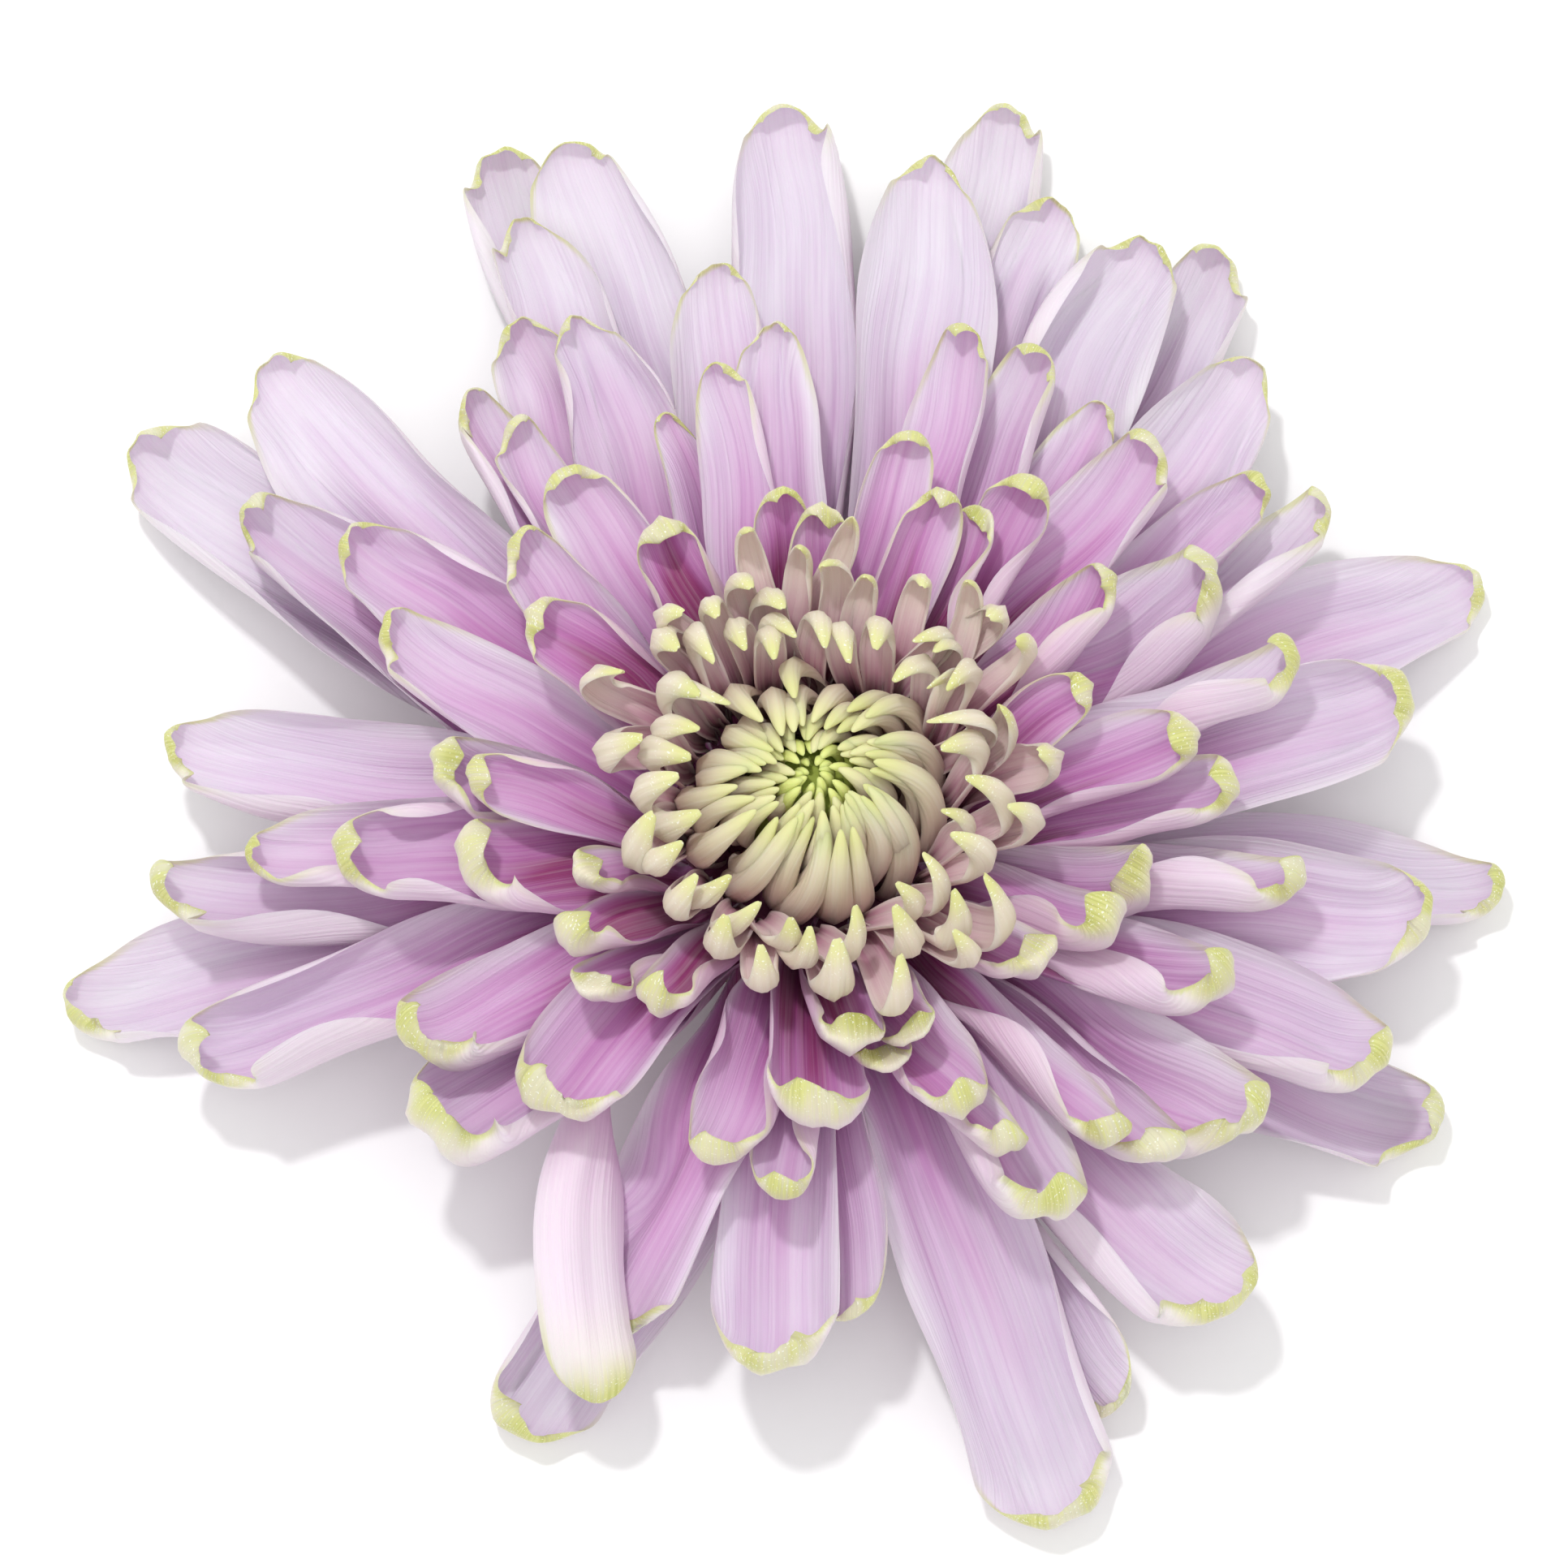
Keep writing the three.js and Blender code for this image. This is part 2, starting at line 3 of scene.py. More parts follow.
import bpy
import numpy as np
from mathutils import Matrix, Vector


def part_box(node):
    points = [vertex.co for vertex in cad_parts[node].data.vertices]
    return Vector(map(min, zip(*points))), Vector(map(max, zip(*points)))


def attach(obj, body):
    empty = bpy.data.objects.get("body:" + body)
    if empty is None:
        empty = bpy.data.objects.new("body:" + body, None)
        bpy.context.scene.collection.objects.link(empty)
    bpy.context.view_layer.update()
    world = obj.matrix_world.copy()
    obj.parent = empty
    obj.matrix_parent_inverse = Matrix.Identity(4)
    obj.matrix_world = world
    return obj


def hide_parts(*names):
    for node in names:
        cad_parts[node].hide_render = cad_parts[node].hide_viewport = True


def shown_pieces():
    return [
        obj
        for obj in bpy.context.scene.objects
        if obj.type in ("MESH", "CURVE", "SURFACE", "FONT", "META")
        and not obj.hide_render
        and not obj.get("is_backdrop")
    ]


# A single large chrysanthemum bloom, lying face up on the backs of its lowest ray florets.
# Shapes are worked out in millimetres about the bloom's own axis and moved to the frame at the end.

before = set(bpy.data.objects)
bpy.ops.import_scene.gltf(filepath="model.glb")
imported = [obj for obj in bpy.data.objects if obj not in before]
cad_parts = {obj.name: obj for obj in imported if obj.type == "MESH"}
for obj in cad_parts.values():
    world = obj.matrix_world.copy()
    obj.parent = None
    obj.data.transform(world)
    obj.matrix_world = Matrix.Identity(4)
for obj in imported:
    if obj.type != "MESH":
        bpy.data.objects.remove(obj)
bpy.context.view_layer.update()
millimetre = 0.001
stemLow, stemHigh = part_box("stem")
bloomAxis = np.array([(stemLow.x + stemHigh.x) / 2, (stemLow.y + stemHigh.y) / 2, 0.0])
frontTurn = 270  # direction of the bloom's front

# The florets, one row each: direction of the tip, its distance from the axis, its height above the
# bloom's profile, width, curl of the tip, half angle of the trough, how far the root is turned from
# the tip, twist, and 1 where it lies on the table. What a row leaves out at its end is usual.
floretParts = ("turn", "reach", "lift", "width", "hook", "cup", "lean", "roll", "rests")
usualFloret = {"cup": 50, "lean": 0, "roll": 0, "rests": 0}
rayFlorets = [
    [1, 38, 0, 8, 100, 60], [8, 35, 0.5, 7, 115, 55, 0, 15], [13.5, 55.5, 0, 13.5, 60, 38, 2],
    [19, 46, 0.5, 8.5, 90, 60, 4, -15], [19, 27, 0, 5.5, 70, 55], [24, 68, 0, 13, 45, 30, 3, 0, 1],
    [33, 43, 0, 9.5, 75, 45, 3, -10], [34.5, 57.5, 0, 8, 60, 60, 2, -25], [38, 34.5, 0, 7, 70, 65],
    [38.5, 53.5, 0, 10, 45, 35, 0, -10], [49, 48, 0, 10.5, 50, 30, 3], [49, 63, 0, 11, 50, 40, 2],
    [56.5, 49, -1, 9, 30, 25], [56.5, 36.5, 0, 7, 100, 60, 0, 25], [57.5, 72, 0, 11, 60, 40, 2, -15, 1],
    [60, 31.5, 0, 5.5, 90, 60, 0, -20], [62, 68.5, 0, 12, 40, 36, 2],
    [65, 50.5, 0, 8.5, 50, 60, 0, -20], [67.5, 31, 0, 6.5, 80, 50, 0, 15], [70, 69, 0, 10, 40, 46],
    [73, 50, 0, 8, 60, 50, -3, -20], [75.5, 36.5, 0, 6, 60, 50, 0, 15],
    [76, 78.5, 0, 11.5, 35, 50, 0, 0, 1], [80.5, 70, 0.5, 13, 35, 25, -2], [88, 27, 0, 5.5, 80, 55],
    [92, 75, 0, 12, 40, 46, 1], [94.5, 48.5, 0, 10.5, 25, 25], [96, 29, 0, 6, 60, 60],
    [99.5, 57, 0, 9, 40, 40], [102, 44.5, 0, 7, 50, 60], [108.5, 75, 0, 11.5, 40, 44, -4],
    [110, 41, -1, 5.5, 40, 65, 3], [113, 77.5, 0, 12, 45, 52, 0, 0, 1],
    [114, 55, 0, 10, 50, 50, 0, -25], [114, 68.5, 1, 10, 50, 54], [119, 57.5, 0, 10.5, 50, 45, -2],
    [119.5, 29, 0, 6.5, 80, 60, -3], [126, 47.5, 0, 6.5, 60, 65, 0, 10],
    [126.5, 39.5, 0, 7.5, 60, 45, 2], [127.5, 52.5, 0, 9, 60, 65, 0, 20], [137, 70.5, 1, 12, 35, 38, 2],
    [137.5, 37, 0, 8, 70, 55], [147, 76, 0, 14, 45, 36, 3, 0, 1], [147.5, 31, 0, 7.5, 80, 50],
    [147.5, 51, 0, 9, 80, 45, 2], [149, 61.5, 0, 11.5, 60, 40, 3], [155.5, 43, 0, 9.5, 50, 30, 3],
    [171, 60, 0, 11, 35, 38, 2, 10], [175.5, 34.5, 0, 8.5, 90, 60], [178.5, 31.5, 0.5, 5.5, 110, 60],
    [183.5, 51.5, 0, 8.5, 50, 40, -3], [184.5, 59.5, 0, 10.5, 50, 58, 0, 26],
    [187, 43, 0, 10, 80, 55, -2], [190.5, 32.5, 0, 10, 80, 40], [191.5, 69, 0, 13.5, 50, 32, -3, 8, 1],
    [201.5, 59, 0, 12, 70, 48, -4, 20], [202.5, 23.5, 0, 5, 110, 50],
    [211.5, 42, 0, 11, 55, 36, -3, 10], [213, 27, 0, 6.5, 110, 50], [220.5, 45.5, 0, 11, 90, 50, -3],
    [223, 28.5, 0, 6.5, 100, 50], [230.5, 37.5, 0, 11, 55, 30, -3], [235, 26, 0, 6, 90, 55],
    [244.5, 59.5, 0, 10, 70, 40, 6, 0, 1], [247, 50, 0, 12.5, 40, 32, -3],
    [250, 56.5, 1.5, 9.5, 30, 24, -42, 150], [255, 35.5, 0, 7.5, 60, 65], [266, 50.5, 0, 11, 90, 40],
    [266, 37.5, 0, 7.5, 60, 65], [269.5, 31.5, 0.5, 9, 100, 40], [273, 46, -1.5, 8, 30, 40],
    [279, 25.5, 0, 6.5, 110, 50], [283.5, 27, 0, 6, 100, 50], [290, 65, 1.5, 12.5, 55, 48, 6, 8, 1],
    [292, 26, 0, 5, 100, 50], [294, 33, 0, 7.5, 80, 60, 0, -14], [297.5, 58, 0, 9, 60, 40, -2, -10],
    [298, 37, 0, 6.5, 80, 55, -5, -25], [300, 43, 0, 9.5, 80, 65, 5, -34],
    [310.5, 41, 0.5, 7, 90, 55, 5, -30], [310.5, 57.5, 0, 11.5, 60, 38, -3, -10],
    [313.5, 44, 0, 9, 90, 60, 3, -26], [321, 27, 0, 6.5, 110, 55, 0, -20],
    [324, 48, 0, 11.5, 70, 38, 2, -12], [334, 30, 0, 7.5, 110, 50], [336, 40.5, 0, 9, 110, 60],
    [335.5, 61.5, 0, 12, 50, 32, -2, 0, 1], [336.5, 55, 0, 11.5, 60, 34, 2, -10],
    [345.5, 31, 0, 8, 110, 60], [351, 44, 0, 8.5, 80, 65, 2], [352.5, 56, 0, 13, 50, 25, 2],
    [357.5, 63, 0, 11.5, 50, 25, 0, 0, 1],
]
# cream florets with hooked tips, in a ragged ring round the centre
hookedFlorets = [
    [2.5, 22, 0, 6, 120], [18, 18, 0, 5, 80], [30, 17, 0, 4, 140], [32, 23, 0, 4.5, 130],
    [35.5, 15.5, 0, 3.5, 140], [41, 23, 0, 5, 140], [44, 18, 0, 4, 140], [51, 22.5, 0, 4, 110],
    [52, 17.5, 0, 4, 140], [59.5, 21, 0, 4, 130], [63, 15.5, 0, 4.5, 140], [75, 19, 0, 4, 100],
    [81.5, 23.5, 0, 4.5, 100], [88, 19.5, 0, 4.5, 110], [93.5, 21.5, 0, 4, 130], [98, 15.5, 0, 4, 150],
    [101, 18, 0, 5, 140], [105, 23.5, 0, 4, 130], [109, 20, 0, 4.5, 140], [120, 16, 0, 4, 150],
    [122.5, 19, 0, 4, 140], [130, 21, 0, 4.5, 140], [134, 16.5, 0, 4.5, 140], [139, 19.5, 0, 5, 140],
    [148.5, 16, 0, 5, 140], [153.5, 22, 0, 5, 140], [171.5, 19.5, 0, 5.5, 140], [186, 16, 0, 5, 130],
    [198.5, 18.5, 0, 6, 120], [225, 18, 0, 4.5, 120], [240.5, 18.5, 0, 5, 100],
    [254.5, 20.5, 0, 4.5, 120], [277, 20, 0, 5.5, 120], [293, 22, 0, 5, 120], [298, 18.5, 0, 5, 120],
    [308, 22, 0, 4, 120], [316, 20.5, 0, 5, 130], [325, 21, 0, 5.5, 120], [331, 17.5, 0, 4.5, 130],
    [346.5, 20.5, 0, 4.5, 130], [354, 17.5, 0, 4.5, 140], [212, 17, -0.5, 4.5, 120],
    [233, 15.4, -1, 4.2, 110], [248, 16, -1, 4.2, 100], [260, 16, -0.5, 4.4, 80],
    [268, 17.5, -1.5, 4, 110], [285, 16.4, -1, 4.2, 110], [303, 16, -0.5, 4.2, 110],
    [320, 15.6, -1, 4, 120], [340, 15.4, -0.5, 4, 130],
]
# cream florets between that ring and the ball, which lean in over its rim
leaningFlorets = [
    [8, 15.4, -0.6, 4.6, 140], [22, 14.6, 0, 4.2, 140], [48, 14.4, 0.4, 4, 150],
    [72, 13.8, 0.6, 4, 150], [85, 14.6, 0.2, 4.2, 150], [110, 14.2, 0.6, 4, 150],
    [143, 13.8, 0.4, 4.4, 150], [162, 14.8, -0.2, 4.6, 140], [176, 15.2, -0.8, 4.8, 140],
    [202, 14.8, -1.4, 4.6, 130],
]

bloomForm = {
    "tipHeight": [[8, 31.4], [15, 31], [22, 30], [30, 26.5], [40, 21.5], [50, 15.5], [58, 10.5],
                  [66, 5.5], [80, 2.5]],  # of the bend at a tip, by reach
    "rootRadius": [[24, 12.2], [25, 9.6], [40, 10.2], [60, 10.6]],
    "rootHeight": [[24, 18.8], [25, 15.4], [30, 14.2], [45, 13], [60, 12], [80, 11.4]],
    "archRise": [[15, 26], [30, 24], [45, 20], [60, 16], [80, 13]],  # how much steeper a root leaves
    "curlLeast": 0.3,  # radius of the curl at a tip
    "curlPerWidth": 0.42,
    "seenBend": 50,  # a tip is measured where it has bent over this far
    "top": 34.6,  # no hooked floret stands higher
    "deepReach": [12, 66],  # from the depths of the bloom to its outermost tips
    "restGap": 0.02,  # under a floret that lies on the table
    "floorGap": 0.03,  # under any other
    # the pieces that the rays are shared out to: least reach, points along and across each floret
    "rayGroups": [("outer", 50, 52, 21), ("middle", 34, 46, 19), ("inner", 0, 42, 15)],
    "hookedMesh": (36, 13),
}

rayLook = {
    "thickness": 0.34,
    "rimAngle": [[20, 76], [30, 98], [45, 118], [60, 136], [70, 144]],  # of the curl, by half angle
    "rimSpread": [0.85, 1.15],
    "floorFlatness": [[20, 1.5], [45, 1.35], [65, 1.25]],  # a high value keeps the curl to the rims
    "lopsided": [[25, 0.22], [45, 0.26], [65, 0.3]],
    "keel": [[25, 0.26], [45, 0.34], [65, 0.4]],  # how far the floor lies from the middle, by half angle
    "tightens": True,  # the curl of a tip gets tighter towards its end
    "curlGain": 1.0,
    "roomToCurl": [[0, 1]],  # share of the curl's length, by reach
    "foldAngle": [[0, 158], [60, 156], [110, 172], [180, 166]],  # of the lip, by direction from the front
    "foldPerHook": 0.2,
    "foldLessNarrow": 4,  # taken off the fold of narrow florets
    "narrowWidths": [7, 10],  # all of it, none of it
    "overturnedFold": 62,  # of a floret that lies back up
    "lipLength": [[0, 2.2], [70, 1.9], [110, 2.0], [180, 2.0]],
    "lipPerWidth": [[0, 0.46], [70, 0.36], [110, 0.22], [180, 0.18]],
    "hoodAngle": [88, 86],  # how far the rims close at the tip: blunt, horned
    "hoodSpan": [0.22, 0.5],
    "baseWidth": 0.46,  # at the root, as a share of the width
    "tipWidth": [[6, 0.34], [9, 0.3], [12, 0.34]],
    "pointed": [[50, 0], [105, 1]],  # tips of the far side, by direction from the front
    # for florets of the near side, of the far side and horned ones
    "tipLength": [1.3, 2.0, 1.9],  # of the narrowing end, as a share of the width
    "tipPower": [2.0, 1.65, 1.9],
    "tipSharpness": [0.54, 0.72, 0.66],
    "ragged": [0.022, 0.012],  # unevenness of the end, as a share of the width
    "skew": 0.14,
    "swirl": [[0, 0]],  # how far the root is turned from the tip, by direction from the front
    "fan": [[24, 8], [40, 20], [60, 32]],  # how far side florets' roots are turned to the front, by reach
    "slim": 1.0,
    "centred": True,
    "shows": 1.0,  # how much of the width shows from above
    "overhang": 0.9,  # how far the curl of a tip stands out past its bend
    "widest": 0.55,  # where along the floret it reaches its width
    "taper": None,  # length of the narrowing end as a share of the floret, in place of tipLength
    "groove": 0.105,  # depth of the lengthwise grooves, as a share of the width
    "edgeWave": 0.19,
    "sway": 0.03,
    "rollSpread": 9,
    "rollBias": 22,  # how far the rolled florets of the right side open away from the front
    "twistWave": 7,
    "crumple": 0.5,
    "crumpleReach": 5.0,  # from the tip
    "crumpleDepth": 0.022,
    "spacing": 0.35,  # air between a floret and the one above it
    "pressedMost": 4.5,  # in one round
    "heldRoot": 0.16,  # share of the floret over which pressing it down sets in
    "seed": 11,
}
overturnedLook = {  # an overturned floret is plainer
    "keel": [[0, 0]], "lopsided": [[0, 0]], "skew": 0.1, "groove": 0.02, "crumple": 0, "ragged": [0, 0],
    "rimSpread": [0.8, 0.8],
}
hookedLook = dict(
    rayLook, thickness=0.4, seed=23, slim=0.84, shows=0.88, centred=False, overhang=0, fan=[[0, 0]],
    swirl=[[0, -16], [90, -6], [180, 0]], rimAngle=[[40, 100], [60, 108]], rimSpread=[1, 1],
    floorFlatness=[[0, 1.35]], lopsided=[[0, 0.15]], keel=[[0, 0.1]],
    foldAngle=[[0, 34], [180, 8]], foldPerHook=0.7, foldLessNarrow=0, tightens=False,
    lipLength=[[0, 2.8], [90, 2.2], [180, 1.5]], lipPerWidth=[[0, 0.34]], curlGain=1.15,
    roomToCurl=[[15, 0.76], [18, 0.9], [22, 1]], hoodAngle=[76, 76], hoodSpan=[0.2, 0.2], baseWidth=0.55,
    widest=0.46, taper=0.5, tipWidth=[[3, 0.1], [7, 0.16]], tipPower=[1.6, 1.6, 1.6],
    tipSharpness=[0.72, 0.72, 0.72], ragged=[0, 0], skew=0, groove=0.06, edgeWave=0.1, sway=0.09,
    crumple=0.1, rollSpread=24, rollBias=0, twistWave=4)


def named(rows):
    return [dict(usualFloret, **dict(zip(floretParts, row))) for row in rows]


def onPolyline(points, x):
    return float(np.interp(x, *zip(*points)))


def between(pair, share):
    return pair[0] + (pair[1] - pair[0]) * share


def polar(turn, reach, height):
    angle = math.radians(turn)
    return np.array([reach * math.cos(angle), reach * math.sin(angle), height])


def smooth(x):
    t = np.clip(x, 0, 1)
    return t * t * (3 - 2 * t)


def unit(v):
    return v / np.maximum(np.linalg.norm(v, axis=-1, keepdims=True), 1e-9)


def runningSum(values, steps):
    # integral of values along the first axis, by trapezia
    total = np.zeros_like(values)
    total[1:] = np.cumsum((values[1:] + values[:-1]) / 2 * steps, axis=0)
    return total


def evenly(line, shares):
    # the points at these shares of a polyline's length, and its length
    lengths = np.concatenate([[0], np.cumsum(np.linalg.norm(np.diff(line, axis=0), axis=1))])
    points = np.stack([np.interp(shares * lengths[-1], lengths, line[:, k]) for k in range(3)], axis=1)
    return points, lengths[-1]


def fromFront(turn):
    return abs((turn - frontTurn + 180) % 360 - 180)


def isOverturned(floret):
    return abs(floret["roll"]) > 90


# The middle line of a floret
def curling(angle, length, tightens, steps=40):
    # the curl of a tip, tighter towards its end or towards its start: how far it gets ahead and
    # inwards, and its direction
    t = np.linspace(0, 1, steps + 1)
    bend = math.radians(angle) * (t ** 1.5 if tightens else 1 - (1 - t) ** 1.6)
    ahead = runningSum(np.cos(bend), length / steps)
    inward = runningSum(np.sin(bend), length / steps)
    return ahead, inward, bend


def tipCurl(floret, look):
    # the curl of a floret's tip, and the step at which it is measured
    width = floret["width"]
    facing = fromFront(floret["turn"])
    curl = (bloomForm["curlLeast"] + bloomForm["curlPerWidth"] * width) * look["curlGain"]
    length = curl * math.radians(floret["hook"]) + onPolyline(look["lipLength"], facing)
    length += onPolyline(look["lipPerWidth"], facing) * width
    length *= onPolyline(look["roomToCurl"], floret["reach"])
    slimmest, broadest = look["narrowWidths"]
    fold = onPolyline(look["foldAngle"], facing) + look["foldPerHook"] * floret["hook"]
    fold -= look["foldLessNarrow"] * float(smooth((broadest - width) / (broadest - slimmest)))
    if isOverturned(floret):
        fold = look["overturnedFold"]
    ahead, inward, bend = curling(fold, length, look["tightens"])
    seen = int(np.searchsorted(bend, math.radians(bloomForm["seenBend"])))
    if isOverturned(floret):
        inward = -inward
    return ahead, inward, seen


def floretLine(floret, look):
    # a curve from root to knee, then the curl of the tip
    turn = floret["turn"]
    reach = floret["reach"]
    height = onPolyline(bloomForm["tipHeight"], reach) + floret["lift"]
    rootTurn = turn + floret["lean"] + onPolyline(look["swirl"], fromFront(turn))
    rootTurn -= onPolyline(look["fan"], reach) * math.cos(math.radians(turn))
    rootRadius, rootHeight = (onPolyline(bloomForm[key], reach) for key in ("rootRadius", "rootHeight"))
    root = polar(rootTurn, rootRadius, rootHeight)
    crown = polar(turn, reach - look["overhang"], height)
    rise = math.degrees(math.atan2(height - root[2], reach - math.hypot(root[0], root[1])))
    rise += onPolyline(bloomForm["archRise"], reach)
    heading = math.degrees(math.atan2(crown[1] - root[1], crown[0] - root[0])) + floret["lean"]
    out = polar(heading, math.cos(math.radians(rise)), math.sin(math.radians(rise)))
    tipAhead, tipInward, seen = tipCurl(floret, look)
    side = polar(turn + 90, 1, 0)
    ahead = unit(crown - root)
    for _ in range(5):  # the knee's place and the floret's direction there depend on each other
        inward = unit(np.cross(ahead, side))
        knee = crown - tipAhead[seen] * ahead - tipInward[seen] * inward
        middle = root + out * np.linalg.norm(knee - root) / 2
        ahead = unit(knee - middle)
    inward = unit(np.cross(ahead, side))
    t = np.linspace(0, 1, 41)[:, None]
    body = (1 - t) ** 2 * root + 2 * t * (1 - t) * middle + t ** 2 * knee
    tip = knee + tipAhead[1:, None] * ahead + tipInward[1:, None] * inward
    return np.concatenate([body, tip])


# The sheet of a floret: a grid of points, s along it from 0 to 1 and u across it from -1 to 1
def stationsAlong(count):
    # closer together towards the tip
    return 1 - (1 - np.linspace(0, 1, count)) ** 1.35


def stationsAcross(count):
    # closer together towards the rims
    return np.sin(np.linspace(-1, 1, count) * 1.25) / math.sin(1.25)


def twisted(line, spec, rng):
    # even stations along the line, with its side and face directions there
    fine = np.linspace(0, 1, 161)
    points, length = evenly(line, fine)
    ahead = unit(np.gradient(points, fine, axis=0))
    flat = polar(spec["turn"] + 90, 1, 0)
    side = unit(flat - (ahead @ flat)[:, None] * ahead)
    face = np.cross(ahead, side)
    twist = np.radians(spec["roll"] + rng.normal(0, spec["rollSpread"])) * smooth(fine / 0.7)
    twist = twist + np.radians(spec["away"]) * smooth(fine / 0.5) * (1 - 0.85 * smooth((fine - 0.55) / 0.35))
    swell = np.sin(np.pi * fine) * smooth(fine / 0.3)
    wave = np.radians(rng.normal(0, spec["twistWave"]))
    twist = twist + wave * np.sin(7 * fine + rng.uniform(0, 6.3)) * swell
    turnedSide = side * np.cos(twist)[:, None] + face * np.sin(twist)[:, None]
    turnedFace = face * np.cos(twist)[:, None] - side * np.sin(twist)[:, None]
    swing = rng.uniform(-1, 1) * np.sin(np.pi * fine) + rng.uniform(-0.6, 0.6) * np.sin(2 * np.pi * fine)
    points = points + turnedSide * (spec["sway"] * length * swing * smooth(fine / 0.25))[:, None]
    return fine, points, turnedSide, turnedFace, length


def unevenEnds(spec, u, length, rng):
    # how much sooner each column ends, so that the end is uneven and its fold runs askew
    ends = rng.uniform(-1, 1) * spec["skew"] * u
    for waves in (1.7, 3.3):
        size = between(spec["ragged"], spec["horned"]) * rng.uniform(0.3, 1)
        ends = ends + size * np.sin(waves * u + rng.uniform(0, 6.3))
    return (ends - ends.min()) * spec["width"] / length


def halfWidths(spec, s, length, rng):
    # narrow at the root, and narrowing again to a rounded tip
    width = spec["width"]
    horned = spec["horned"]
    tipLength = spec["taper"]
    if not tipLength:
        tipLength = min(0.62, between(spec["tipLength"], horned) * rng.uniform(0.8, 1.2) * width / length)
    past = np.clip((s - 1 + tipLength) / tipLength, 0, 1)
    grown = spec["baseWidth"] + (1 - spec["baseWidth"]) * smooth(s / spec["widest"])
    narrowest = onPolyline(spec["tipWidth"], width) * rng.uniform(0.5, 1.2)
    rounded = (1 - past ** between(spec["tipPower"], horned)) ** between(spec["tipSharpness"], horned)
    return width / 2 * grown * (narrowest + (1 - narrowest) * rounded)


def rimAngles(spec, s, rng):
    # how far the rims curl in along the floret, closing to a hood at its tip
    steep = math.radians(onPolyline(spec["rimAngle"], spec["cup"])) * rng.uniform(*spec["rimSpread"])
    closing = steep * (0.76 + 0.24 * smooth((s - 0.35) / 0.45) + 0.4 * (1 - smooth(s / 0.35)))
    ripple = rng.uniform(-0.14, 0.14) * np.sin(5 * s + rng.uniform(0, 6.3))
    closing = closing * (1 + ripple * np.sin(np.pi * s))
    hoodSpan = between(spec["hoodSpan"], spec["horned"])
    hooded = math.radians(between(spec["hoodAngle"], spec["horned"]))
    return closing + (hooded - closing) * smooth((s - 1 + hoodSpan) / (0.8 * hoodSpan))


def troughSlopes(spec, s, u, closing, flatness, rng):
    # the slope of the sheet across the floret, with the floor off its middle and the rims wavy
    lopsided = rng.uniform(-1, 1) * onPolyline(spec["lopsided"], spec["cup"])
    keel = onPolyline(spec["keel"], spec["cup"])
    keel = keel * (rng.uniform(0.5, 1) * math.cos(math.radians(spec["turn"])) + rng.uniform(-0.6, 0.6))
    phases = rng.uniform(0, 2 * np.pi, 2)
    waves = rng.uniform(1.2, 3.0, 2)
    middle = np.sin(np.pi * s) * smooth(s / 0.3)
    offset = u[None, :] - keel * (1 - u[None, :] ** 2) * smooth(s / 0.3)[:, None]
    edge = np.abs(offset)
    wave = np.where(u[None, :] > 0, np.sin(2 * np.pi * waves[0] * s[:, None] + phases[0]),
                    np.sin(2 * np.pi * waves[1] * s[:, None] + phases[1]))
    slope = closing[:, None] * np.sign(offset) * edge ** flatness
    slope = slope * (1 + lopsided * np.sign(offset)) * (1 + spec["edgeWave"] * wave * edge * middle[:, None])
    return slope, phases[0]


def grooveHeights(spec, s, u, phase, rng):
    # shallow lengthwise grooves, which fade out towards the root and the tip
    grooves = np.zeros((len(s), len(u)))
    for place in spec["grooves"]:
        place = place + rng.uniform(-0.08, 0.08)
        depth = rng.uniform(0.5, 1.3)
        grooves -= depth * np.exp(-((u[None, :] - place) / 0.15) ** 2)
    grooves += 0.35 * np.cos(9.4 * u[None, :] + phase) * (1 - u[None, :] ** 2)
    fade = (smooth(s / 0.25) * (1 - 0.9 * smooth((s - 0.78) / 0.2)))[:, None]
    return grooves * spec["groove"] * spec["width"] * fade


def surfaceNormals(sheet):
    return unit(np.cross(np.gradient(sheet, axis=0), np.gradient(sheet, axis=1)))


def crumpled(sheet, spec, s, u, length, rng):
    # small uneven waves near the tip
    rough = np.zeros(sheet.shape[:2])
    for _ in range(4):
        ripple = rng.uniform(3, 11) * u[None, :] + rng.uniform(18, 60) * s[:, None]
        rough += np.sin(ripple + rng.uniform(0, 6.3))
    reach = spec["crumpleReach"] / length
    near = smooth((s - 1 + reach) / reach)[:, None]
    amount = spec["crumpleDepth"] * spec["crumple"] * spec["width"] * rng.uniform(0.3, 1.3)
    amount = amount * (1 - 0.7 * spec["horned"])
    return sheet + surfaceNormals(sheet) * (rough * amount * near)[..., None]


